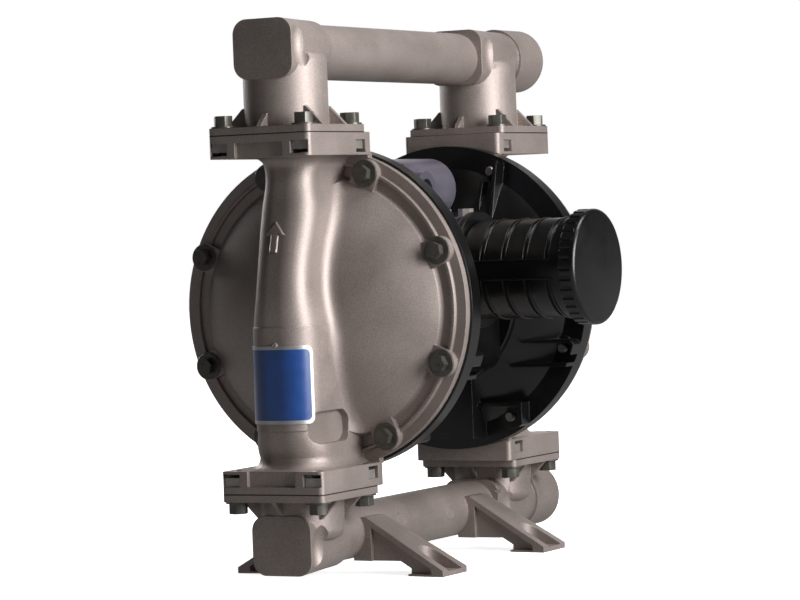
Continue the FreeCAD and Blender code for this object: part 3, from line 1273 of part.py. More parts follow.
def manifold_fasteners():
    """Bolts, washers and square nuts of the four manifold joints."""
    for row, joint, up, direction in (("outlet", "outlet_joint", 1, "Z"),
                                      ("inlet", "inlet_joint", -1, "-Z")):
        bolts, washers, nuts = [], [], []
        seat = f"({joint} + {up} * manifold_flange_thickness)"
        head_seat = f"({seat} + {up} * washer_thickness)"
        nut_face = f"({joint} - {up} * nut_pocket_top)"
        end = f"({nut_face} - {up} * (nut_height + bolt_overhang))"
        for column in (1, -1):
            for across, beside in CORNERS:
                x = f"({column} * (column_reach + {across} * {half_pitch}))"
                y = f"({beside} * {half_pitch})"
                name = f"{row}_{'port' if column > 0 else 'blank'}_{len(bolts)}"
                outer = cylinder(f"{name}_washer_disc", "washer_radius", "washer_thickness", x, y, seat,
                                 direction)
                inner = cylinder(f"{name}_washer_hole", hole_radius, "washer_thickness", x, y, seat,
                                 direction)
                washers.append(cut(f"{name}_washer", outer, inner))
                head = hexagon(f"{name}_head", "head_flats", "flange_head_height", x, y, head_seat,
                               direction)
                stem = cylinder(f"{name}_stem", "bolt_radius", f"{up} * ({head_seat} - {end})", x, y, end,
                                direction)
                bolts.append(fused(f"{name}_bolt", [head, stem]))
                block = doc.addObject("Part::Box", f"{name}_nut_block")
                bind(block, "Length", "nut_side")
                bind(block, "Width", "nut_side")
                bind(block, "Height", "nut_height")
                low = f"({nut_face} - nut_height)" if up > 0 else nut_face
                place(block, f"{x} - nut_side / 2", f"{y} - nut_side / 2", low)
                thread = cylinder(f"{name}_nut_thread", "bolt_radius + thread_clearance", "nut_height", x,
                                  y, low)
                nuts.append(cut(f"{name}_nut", block, thread))
        group(f"{row}_manifold_bolts", bolts)
        group(f"{row}_manifold_washers", washers)
        group(f"{row}_manifold_nuts", nuts)


def rating_plate():
    """The bare rating plate that wraps the nose of the near column."""
    body = new_body("rating_plate")
    half_width = "(label_half_width + label_rise)"
    flat = f"(nose_flat * {half_width})"
    inner = f"({half_width} - {flat} + plate_bed)"
    outer = f"({inner} + plate_thickness)"
    middle = f"(label_front + label_rise - {half_width} + {flat})"
    spots = []
    for bend, turns in ((inner, 1), (outer, -1)):
        ends = [(f"-({middle} + {bend} * cos(plate_half_angle))",
                 f"{side} * ({flat} + {bend} * sin(plate_half_angle))") for side in (1, -1)]
        fronts = [(f"-({middle} + {bend})", f"{side} * {flat}") for side in (1, -1)]
        if turns > 0:
            spots += [ends[0], (*fronts[0], bend, 1), fronts[1], (*ends[1], bend, 1)]
        else:
            spots += [ends[1], (*fronts[1], bend, -1), fronts[0], (*ends[0], bend, -1)]
    made = outline(sketch_on(body, "plate_section", PLAN, "pump_centre - plate_drop - plate_height / 2"),
                   spots)
    pad(body, "plate_sheet", made, "plate_height")
    return hand_in(body, "rating_plate")


right_cover = fluid_cover()
mirrored("left_fluid_cover", right_cover)
outlet_manifold()
inlet_manifold()
right_air = air_cover()
mirrored("left_air_cover", right_air)
centre_housing()
air_valve()
muffler_parts()
diaphragm_group()
ball_checks()
cover_fasteners()
manifold_fasteners()
rating_plate()

doc.recompute()
broken = [item.Name for item in doc.Objects if "Invalid" in item.State or "Error" in item.State]
if broken:
    raise RuntimeError(f"features that failed: {broken}")
for piece in handed_in:
    if piece.Shape.isNull() or not piece.Shape.isValid():
        raise RuntimeError(f"{piece.Label} has no valid shape")
for piece in handed_in:
    piece.Shape.exportStep(f"parts/{piece.Label}.step")
    print(f"{piece.Label}: {len(piece.Shape.Solids)} solids, {piece.Shape.Volume / 1000:.1f} cm3")
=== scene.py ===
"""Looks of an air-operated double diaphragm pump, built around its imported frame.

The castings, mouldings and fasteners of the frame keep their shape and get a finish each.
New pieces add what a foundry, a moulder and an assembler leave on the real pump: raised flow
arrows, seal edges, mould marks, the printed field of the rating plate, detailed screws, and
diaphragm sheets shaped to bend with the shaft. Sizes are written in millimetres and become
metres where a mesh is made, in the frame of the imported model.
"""

from __future__ import annotations

import json
import logging
import math
from dataclasses import dataclass
from enum import Enum
from typing import Any, Iterable, Sequence

import bmesh
import bpy
from bmesh.types import BMEdge, BMesh, BMFace, BMVert
from bpy.types import ID, Material, Mesh, Node, NodeSocket, NodeTree, Object
from mathutils import Matrix, Vector
from mathutils.bvhtree import BVHTree

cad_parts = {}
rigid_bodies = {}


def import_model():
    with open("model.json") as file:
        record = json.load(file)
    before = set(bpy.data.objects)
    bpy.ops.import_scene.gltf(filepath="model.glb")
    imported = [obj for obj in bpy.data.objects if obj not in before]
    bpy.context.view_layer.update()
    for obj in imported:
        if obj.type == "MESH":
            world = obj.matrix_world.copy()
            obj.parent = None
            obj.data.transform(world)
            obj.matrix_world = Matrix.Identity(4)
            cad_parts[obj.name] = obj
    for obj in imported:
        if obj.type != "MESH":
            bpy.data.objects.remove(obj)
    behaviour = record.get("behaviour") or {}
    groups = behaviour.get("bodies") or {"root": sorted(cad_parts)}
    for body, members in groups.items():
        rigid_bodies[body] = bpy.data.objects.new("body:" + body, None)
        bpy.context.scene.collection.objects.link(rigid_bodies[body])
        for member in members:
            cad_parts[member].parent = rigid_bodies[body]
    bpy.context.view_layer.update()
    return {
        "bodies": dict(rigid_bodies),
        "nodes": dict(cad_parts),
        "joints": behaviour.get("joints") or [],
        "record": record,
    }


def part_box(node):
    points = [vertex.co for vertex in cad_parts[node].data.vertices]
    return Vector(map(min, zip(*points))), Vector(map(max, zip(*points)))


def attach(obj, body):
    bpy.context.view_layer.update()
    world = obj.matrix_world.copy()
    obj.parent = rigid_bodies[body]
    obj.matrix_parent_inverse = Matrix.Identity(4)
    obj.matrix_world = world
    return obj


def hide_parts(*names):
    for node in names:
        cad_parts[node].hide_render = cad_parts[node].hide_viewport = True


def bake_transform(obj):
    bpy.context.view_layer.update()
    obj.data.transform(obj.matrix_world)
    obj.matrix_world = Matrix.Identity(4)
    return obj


log = logging.getLogger("pump")

MM = 0.001
FULL_TURN = 2.0 * math.pi
ROOT_BODY = "pump"

# In mm: height of the shaft's axis, and distance from it to the axis of each flow column.
PUMP_CENTRE = 195.0
COLUMN_REACH = 150.8

# The two sides of the pump, each with its direction along X.
SIDES = (("left", -1.0), ("right", 1.0))

# The sRGB curve: end of its straight part, slope of that part, shift and power of the rest.
SRGB_KNEE, SRGB_SLOPE, SRGB_SHIFT, SRGB_POWER = 0.04045, 12.92, 0.055, 2.4

# Between these values of their noise, the broad patches and the grain go from dark to light.
PATCH_SPAN = (0.3, 0.7)
GRAIN_SPAN = (0.35, 0.65)
BEVEL_SAMPLES = 4

# Section of a raised line: depth of its root in mm, height of its foot and width of its back as
# shares of the whole, and what is left, in steps, at a tapered end.
RIDGE_ROOT, RIDGE_FOOT, RIDGE_BACK, RIDGE_END = 0.4, 0.2, 0.55, 0.25

# Distances in metres: beyond every surface, and within which a point lies on a cutting plane.
OUTSIDE = 0.4
ON_PLANE = 1e-6


def both_sides(*pieces: str) -> tuple[str, ...]:
    """The left and the right node of each kind of piece."""
    return tuple(f"{side}_{piece}" for piece in pieces for side, _ in SIDES)


def linear(code: str) -> tuple[float, float, float, float]:
    """Turn an sRGB hex colour into Blender's linear RGBA.

    Args:
        code: Six hex digits, with or without a leading hash.

    Returns:
        The colour as linear red, green, blue and an alpha of 1.
    """
    digits = code.lstrip("#")
    shares = [int(digits[i:i + 2], 16) / 255.0 for i in (0, 2, 4)]
    bent = [c / SRGB_SLOPE if c <= SRGB_KNEE else ((c + SRGB_SHIFT) / (1.0 + SRGB_SHIFT)) ** SRGB_POWER
            for c in shares]
    return bent[0], bent[1], bent[2], 1.0


def per_metre(size_mm: float) -> float:
    """Texture scale, in features per metre, of a pattern whose features are size_mm across."""
    return 1.0 / (size_mm * MM)


def add_node(tree: NodeTree, kind: str, settings: dict[str, Any] | None = None,
             inputs: dict[Any, Any] | None = None) -> Node:
    """Add a shader node with its settings, constants and links.

    Args:
        tree: The material's or the world's node tree.
        kind: Blender's node type, such as ShaderNodeTexNoise.
        settings: Node attributes to set.
        inputs: Socket name or index to a constant, or to the output socket that feeds it.

    Returns:
        The new node.
    """
    node = tree.nodes.new(kind)
    for name, value in (settings or {}).items():
        setattr(node, name, value)
    for name, value in (inputs or {}).items():
        if isinstance(value, NodeSocket):
            tree.links.new(value, node.inputs[name])
        else:
            node.inputs[name].default_value = value
    return node


def set_stops(node: Node, stops: Sequence[tuple[float, str]]) -> None:
    """Give a colour ramp its stops.

    Args:
        node: The colour ramp node.
        stops: Place from 0 to 1, and sRGB hex colour, of each stop.
    """
    ramp = node.color_ramp
    while len(ramp.elements) < len(stops):
        ramp.elements.new(1.0)
    for element, (place, code) in zip(ramp.elements, stops):
        element.position = place
        element.color = linear(code)


def blank_material(name: str) -> tuple[Material, NodeTree]:
    """Make a material with an empty node tree.

    Args:
        name: Name of the material.

    Returns:
        The material and its node tree.
    """
    made = bpy.data.materials.new(name)
    made.use_nodes = True
    made.node_tree.nodes.clear()
    return made, made.node_tree


@dataclass(frozen=True)
class GrainedFinish:
    """A solid material whose surface has one fine grain and one broad shade.

    Attributes:
        name: Name of the material, for the real stuff and how it was made.
        dark: Colour of the surface in its darker patches.
        light: Colour of the surface in its lighter patches.
        metallic: Share of bare metal in the reflection.
        roughness: Mean roughness.
        roughness_spread: How far the roughness swings each way over the patches.
        patch: Size of the patches of shade, in mm.
        grain: Size of the surface grain, in mm.
        grain_depth: Height of the grain, in mm.
        speckle: Share by which the grain lightens and darkens the colour.
        edge: Radius that the light sees at a hard edge, in mm.
        ior: Index of refraction of a coating or a plastic.
        coat: Weight of a clear coat.
        coat_roughness: Roughness of that coat.
    """

    name: str
    dark: str
    light: str
    metallic: float
    roughness: float
    roughness_spread: float = 0.05
    patch: float = 30.0
    grain: float = 0.8
    grain_depth: float = 0.03
    speckle: float = 0.03
    edge: float = 0.6
    ior: float = 1.5
    coat: float = 0.0
    coat_roughness: float = 0.2

    def build(self) -> Material:
        """Make the Blender material.

        Returns:
            The material.
        """
        made, tree = blank_material(self.name)
        place = add_node(tree, "ShaderNodeTexCoord").outputs["Object"]
        patches = add_node(tree, "ShaderNodeTexNoise", {"noise_dimensions": "3D"}, {
            "Vector": place, "Scale": per_metre(self.patch), "Detail": 3.0, "Roughness": 0.55})
        shade = add_node(tree, "ShaderNodeValToRGB", None, {"Fac": patches.outputs["Fac"]})
        patch_low, patch_high = PATCH_SPAN
        grain_low, grain_high = GRAIN_SPAN
        set_stops(shade, ((patch_low, self.dark), (patch_high, self.light)))
        grain = add_node(tree, "ShaderNodeTexNoise", {"noise_dimensions": "3D"}, {
            "Vector": place, "Scale": per_metre(self.grain), "Detail": 2.0, "Roughness": 0.6})
        speck = add_node(tree, "ShaderNodeMapRange", None, {
            "Value": grain.outputs["Fac"], "From Min": grain_low, "From Max": grain_high,
            "To Min": 1.0 - self.speckle, "To Max": 1.0 + self.speckle})
        tint = add_node(tree, "ShaderNodeVectorMath", {"operation": "SCALE"}, {
            "Vector": shade.outputs["Color"], "Scale": speck.outputs["Result"]})
        rough = add_node(tree, "ShaderNodeMapRange", None, {
            "Value": patches.outputs["Fac"], "From Min": patch_low, "From Max": patch_high,
            "To Min": self.roughness - self.roughness_spread,
            "To Max": self.roughness + self.roughness_spread})
        rounded = add_node(tree, "ShaderNodeBevel", {"samples": BEVEL_SAMPLES}, {
            "Radius": self.edge * MM})
        bump = add_node(tree, "ShaderNodeBump", None, {
            "Height": grain.outputs["Fac"], "Distance": self.grain_depth * MM, "Strength": 1.0,
            "Normal": rounded.outputs["Normal"]})
        surface = add_node(tree, "ShaderNodeBsdfPrincipled", None, {
            "Base Color": tint.outputs["Vector"], "Metallic": self.metallic,
            "Roughness": rough.outputs["Result"], "IOR": self.ior, "Normal": bump.outputs["Normal"],
            "Coat Weight": self.coat, "Coat Roughness": self.coat_roughness})
        add_node(tree, "ShaderNodeOutputMaterial", None, {"Surface": surface.outputs["BSDF"]})
        return made


class Stuff(Enum):
    """The real materials of the pump."""

    # The grain of the castings and mouldings, 0.7 to 0.9 mm here, is drawn about three times as
    # coarse as the real one, which would be too fine to show at the photograph's scale.

    # Sand-cast aluminium under a taupe satin coating: soft broad highlights and a fine sandy grain.
    COATED_CASTING = GrainedFinish(
        "sand_cast_aluminium_taupe_coat", "897e79", "978c87", 0.55, 0.52, 0.05,
        patch=40.0, grain=0.9, grain_depth=0.06, speckle=0.14, edge=0.9)
    # Glass-filled polypropylene, injection moulded: near black, with a slight gloss and moulding grain.
    MOULDED_BLACK = GrainedFinish(
        "glass_filled_polypropylene", "050505", "090909", 0.0, 0.31, 0.04,
        patch=25.0, grain=0.7, grain_depth=0.016, edge=0.9, ior=1.49)
    # Black oxide on steel: a thin dark skin with metal shine under it.
    BLACK_OXIDE = GrainedFinish(
        "black_oxide_steel", "4a4843", "5b5852", 0.5, 0.34, 0.07,
        patch=6.0, grain=0.3, grain_depth=0.008, edge=0.4)
    # Die-cast aluminium with a grey enamel that leans to violet: smoother than the sand castings.
    VALVE_CASTING = GrainedFinish(
        "die_cast_aluminium_grey_enamel", "585562", "67646f", 0.45, 0.36, 0.05,
        patch=25.0, grain=0.8, grain_depth=0.025, edge=0.8)
    # Turned stainless steel: bright, with a faint drawn grain.
    TURNED_STEEL = GrainedFinish(
        "turned_stainless_steel", "b9b8b4", "c8c6c1", 1.0, 0.2, 0.04,
        patch=12.0, grain=0.25, grain_depth=0.004, edge=0.3)
    # Compression moulded nitrile rubber: matt and dark.
    NITRILE_RUBBER = GrainedFinish(
        "moulded_nitrile_rubber", "171615", "201f1d", 0.0, 0.6, 0.06,
        patch=15.0, grain=0.5, grain_depth=0.02, edge=0.6, ior=1.52)
    # Skived PTFE: milky white and waxy.
    PTFE = GrainedFinish(
        "turned_ptfe", "dedcd5", "e8e6e0", 0.0, 0.38, 0.04,
        patch=15.0, grain=0.5, grain_depth=0.01, edge=0.5, ior=1.35)
    # Anodised aluminium foil, the border of the plate: flat, with a soft silver sheen.
    SILVER_FOIL = GrainedFinish(
        "anodised_aluminium_foil", "a3a4a4", "b4b5b5", 0.8, 0.42, 0.04,
        patch=8.0, grain=0.3, grain_depth=0.003, edge=0.15)
    # Screen printed blue ink on the foil: a deep even blue under a clear gloss varnish.
    BLUE_INK = GrainedFinish(
        "screen_printed_blue_ink", "143b78", "194487", 0.0, 0.32, 0.04,
        patch=10.0, grain=0.4, grain_depth=0.004, edge=0.1, coat=0.3, coat_roughness=0.15)
    # Zinc plated steel with a clear passivation: light grey, slightly cloudy.
    ZINC_PLATE = GrainedFinish(
        "zinc_plated_steel", "8f8a85", "a29d97", 0.6, 0.36, 0.06,
        patch=5.0, grain=0.3, grain_depth=0.006, edge=0.3)
    # Pressed fibre gasket sheet: dark grey, matt and faintly mottled.
    GASKET_FIBRE = GrainedFinish(
        "pressed_fibre_gasket", "2f3033", "3b3c40", 0.0, 0.7, 0.05,
        patch=4.0, grain=0.4, grain_depth=0.02, edge=0.2)


def finished_mesh(shape: BMesh, name: str) -> Mesh:
    """Turn a bmesh into a mesh.

    Args:
        shape: The bmesh, which is freed here.
        name: Name of the mesh.

    Returns:
        The mesh.
    """
    mesh = bpy.data.meshes.new(name)
    shape.to_mesh(mesh)
    shape.free()
    return mesh


def add_object(name: str, data: ID) -> Object:
    """Put a mesh, a lamp or a camera into the scene.

    Args:
        name: Name of the object.
        data: What it shows.

    Returns:
        The new object.
    """
    made = bpy.data.objects.new(name, data)
    bpy.context.scene.collection.objects.link(made)
    return made


class Workshop:
    """Keeps one Blender material for each real material, and puts pieces on their bodies."""

    def __init__(self, frame: dict[str, Any]) -> None:
        """Take over the nodes of the frame.
        """
        self.nodes: dict[str, Object] = frame["nodes"]
        self.made: dict[Stuff, Material] = {}
        self.dressed: set[str] = set()

    def material(self, stuff: Stuff) -> Material:
        """Find the Blender material of a real one, and make it the first time.

        Args:
            stuff: The real material.

        Returns:
            The Blender material.
        """
        if stuff not in self.made:
            self.made[stuff] = stuff.value.build()
        return self.made[stuff]

    def dress(self, stuff: Stuff, *names: str) -> None:
        """Give nodes of the frame a finish and smooth shading up to their hard edges.

        Args:
            stuff: What the nodes are made of.
            names: Names of the nodes.
        """
        for name in names:
            node = self.nodes[name]
            node.data.materials.clear()
            node.data.materials.append(self.material(stuff))
            soften(node)
            self.dressed.add(name)
            log.info("%s: %s", name, stuff.value.name)

    def add(self, shape: BMesh, name: str, stuff: Stuff, body: str | None = ROOT_BODY,
            slot: str | None = None, smooth: float = 35.0) -> Object:
        """Turn a finished bmesh, in metres and in place, into a piece that rides on a body.

        Args:
            shape: The shape, which is freed here.
            name: Name of the piece.
            stuff: What it is made of.
            body: The body that it moves with, or None to leave the piece on no body.
            slot: The record's material slot; not used.
            smooth: Angle in degrees above which an edge stays hard.

        Returns:
            The new object.
        """
        bmesh.ops.recalc_face_normals(shape, faces=shape.faces)
        limit = math.radians(smooth)
        for face in shape.faces:
            face.smooth = True
        for edge in shape.edges:
            edge.smooth = len(edge.link_faces) == 2 and edge.calc_face_angle(0.0) < limit
        mesh = finished_mesh(shape, name)
        made = add_object(name, mesh)
        mesh.materials.append(self.material(stuff))
        if body:
            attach(made, body)
        log.info("%s: %d faces, %s", name, len(mesh.polygons), stuff.value.name)
        return made


def surface_of(node: Object) -> BVHTree:
    """Make a search tree over a node's faces, for setting small details on its surface.

    Args:
        node: The node.

    Returns:
        The tree.
    """
    mesh = node.data
    return BVHTree.FromPolygons([v.co.copy() for v in mesh.vertices],
                                [tuple(f.vertices) for f in mesh.polygons])


def closed_loop(shape: BMesh, points: Iterable[Vector]) -> list[BMEdge]:
    """Join points, in metres, into one closed loop of edges."""
    corners = [shape.verts.new(point) for point in points]
    return [shape.edges.new((a, b)) for a, b in zip(corners, corners[1:] + corners[:1])]


def add_copies(shape: BMesh, pattern: BMesh, places: Iterable[Matrix]) -> None:
    """Put a copy of a pattern at each place, and free the pattern.

    Args:
        shape: Where the copies go.
        pattern: The shape to repeat.
        places: One matrix for each copy, in metres.
    """
    kept = finished_mesh(pattern, "pattern")
    for place in places:
        before = len(shape.verts)
        shape.from_mesh(kept)
        shape.verts.ensure_lookup_table()
        bmesh.ops.transform(shape, matrix=place, verts=shape.verts[before:])
    bpy.data.meshes.remove(kept)


def cut_faces(shape: BMesh, point: Vector, across: Vector, near: float = 0.0) -> None:
    """Cut the faces of a shape along a plane and keep both sides.

    Args:
        shape: The shape to cut.
        point: A point of the plane, in metres.
        across: The direction that the plane faces.
        near: Distance within which a corner counts as on the plane, in metres.
    """
    bmesh.ops.bisect_plane(shape, geom=shape.verts[:] + shape.edges[:] + shape.faces[:], dist=near,
                           plane_co=point, plane_no=across)


def turned(profile: Sequence[tuple[float, float]], steps: int, merge: float = 0.01) -> BMesh:
    """Spin a profile about the Z axis.

    Args:
        profile: Points of (radius, height) in mm. It makes a solid where it runs from axis to
            axis or closes on itself, and otherwise a sheet.
        steps: Number of steps round the full turn.
        merge: Distance within which points are joined, in mm.

    Returns:
        The solid or sheet, in metres.
    """
    shape = bmesh.new()
    line = [shape.verts.new(Vector((radius, 0.0, height)) * MM) for radius, height in profile]
    edges = [shape.edges.new(pair) for pair in zip(line, line[1:])]
    bmesh.ops.spin(shape, geom=line + edges, cent=(0.0, 0.0, 0.0), axis=(0.0, 0.0, 1.0),
                   angle=FULL_TURN, steps=steps, use_merge=True)
    bmesh.ops.remove_doubles(shape, verts=shape.verts, dist=merge * MM)
    return shape


def add_ridge(shape: BMesh, path: Sequence[Vector], out: Sequence[Vector],
              width: float, height: float, taper: int = 0) -> None:
    """Lay a thin raised line with a rounded back along a path on a surface.

    Args:
        shape: Where the line goes.
        path: Points on the surface, in mm.
        out: The direction away from the surface at each point.
        width: Width of the line at its foot, in mm.
        height: Height of the line, in mm.
        taper: Number of points at each end over which it narrows to nothing.
    """
    rings = []
    last = len(path) - 1
    for number, (point, up) in enumerate(zip(path, out)):
        ahead = (path[min(number + 1, last)] - path[max(number - 1, 0)]).normalized()
        side = ahead.cross(up).normalized()
        share = min(1.0, (min(number, last - number) + RIDGE_END) / taper) if taper else 1.0
        half, rise = width / 2.0 * share, height * share
        section = ((-half, -RIDGE_ROOT), (-half, RIDGE_FOOT * rise), (-RIDGE_BACK * half, rise),
                   (RIDGE_BACK * half, rise), (half, RIDGE_FOOT * rise), (half, -RIDGE_ROOT))
        rings.append(closed_loop(shape, [(point + across * side + lift * up) * MM
                                         for across, lift in section]))
    for near, far in zip(rings, rings[1:]):
        bmesh.ops.bridge_loops(shape, edges=near + far)
    bmesh.ops.contextual_create(shape, geom=rings[0])
    bmesh.ops.contextual_create(shape, geom=rings[-1])


def along(direction: Vector) -> Matrix:
    """The turn that takes the Z axis to a direction."""
    return direction.to_track_quat("Z", "Y").to_matrix().to_4x4()


@dataclass(frozen=True)
class HexScrew:
    """A hexagon head screw whose bearing face is at height 0 and whose shank points down.

    Attributes:
        flats: Width across the flats, in mm.
        head: Height of the head, in mm.
        radius: Thread radius, in mm.
        length: Length under the head, in mm.
        thread: Length of the thread from the tip, in mm.
        pitch: Thread pitch, in mm.
        corner_round: Radius of the head's upright edges.
        chamfer: Width of the chamfer round the top of the head.
        chamfer_drop: Height of that chamfer.
        rim_margin: How far inside the flats the head's rim may reach.
        overlap: How far the shank reaches into the head.
        groove: Depth of the thread, as a share of its pitch.
        plain_tip: Length of the tip without thread.
        tip_chamfer: Width of the chamfer at the tip.
        steps: Number of steps round the shank.
    """

    flats: float
    head: float
    radius: float
    length: float
    thread: float
    pitch: float = 1.25
    corner_round: float = 0.35
    chamfer: float = 0.85
    chamfer_drop: float = 0.55
    rim_margin: float = 0.4
    overlap: float = 0.05
    groove: float = 0.6
    plain_tip: float = 1.2
    tip_chamfer: float = 0.9
    steps: int = 20

    def pattern(self) -> BMesh:
        """Make the head with its chamfer and the shank with its thread.

        Returns:
            The screw, in metres.
        """
        shape = bmesh.new()
        corner = self.flats / math.sqrt(3.0)
        middle = Matrix.Translation((0.0, 0.0, self.head / 2 * MM))
        bmesh.ops.create_cone(shape, cap_ends=True, segments=6, radius1=corner * MM, radius2=corner * MM,
                              depth=self.head * MM, matrix=middle)
        upright = [e for e in shape.edges if abs(e.verts[0].co.z - e.verts[1].co.z) > self.head / 2 * MM]
        bmesh.ops.bevel(shape, geom=upright, offset=self.corner_round * MM, offset_type="OFFSET",
                        segments=2, profile=0.5, affect="EDGES", material=-1)
        near_top = 0.99 * self.head * MM
        top = [face for face in shape.faces if face.calc_center_median().z > near_top]
        bmesh.ops.inset_region(shape, faces=top, thickness=self.chamfer * MM, depth=0.0)
        rim = [vert for vert in shape.verts if vert.co.z > near_top
               and vert.co.xy.length > (self.flats / 2 - self.rim_margin) * MM]
        bmesh.ops.translate(shape, verts=rim, vec=(0.0, 0.0, -self.chamfer_drop * MM))
        add_copies(shape, turned(self.shank_profile(), self.steps), [Matrix()])
        return shape

    def shank_profile(self) -> list[tuple[float, float]]:
        """Draw the shank down to its chamfered tip, with a groove at each turn of the thread.

        Returns:
            Points of (radius, height) in mm.
        """
        deep = self.groove * self.pitch
        points = [(0.0, self.overlap), (self.radius, self.overlap),
                  (self.radius, -(self.length - self.thread))]
        for turn in range(int((self.thread - self.plain_tip) / self.pitch)):
            low = -(self.length - self.thread) - turn * self.pitch
            points += [(self.radius - deep, low - self.pitch / 2), (self.radius, low - self.pitch)]
        return points + [(self.radius - self.tip_chamfer, -self.length), (0.0, -self.length)]


def soften(node: Object, angle: float = 28.0, merge: float = 0.002) -> None:
    """Shade a node smoothly, with a split at its hard edges.

    Args:
        node: The node, whose triangles are loose.
        angle: Angle in degrees above which an edge is hard.
        merge: Distance within which corners are joined, in mm.
    """
    for face in node.data.polygons:
        face.use_smooth = True
    weld = node.modifiers.new("join_triangles", "WELD")
    weld.merge_threshold = merge * MM
    split = node.modifiers.new("hard_edges", "EDGE_SPLIT")
    split.split_angle = math.radians(angle)


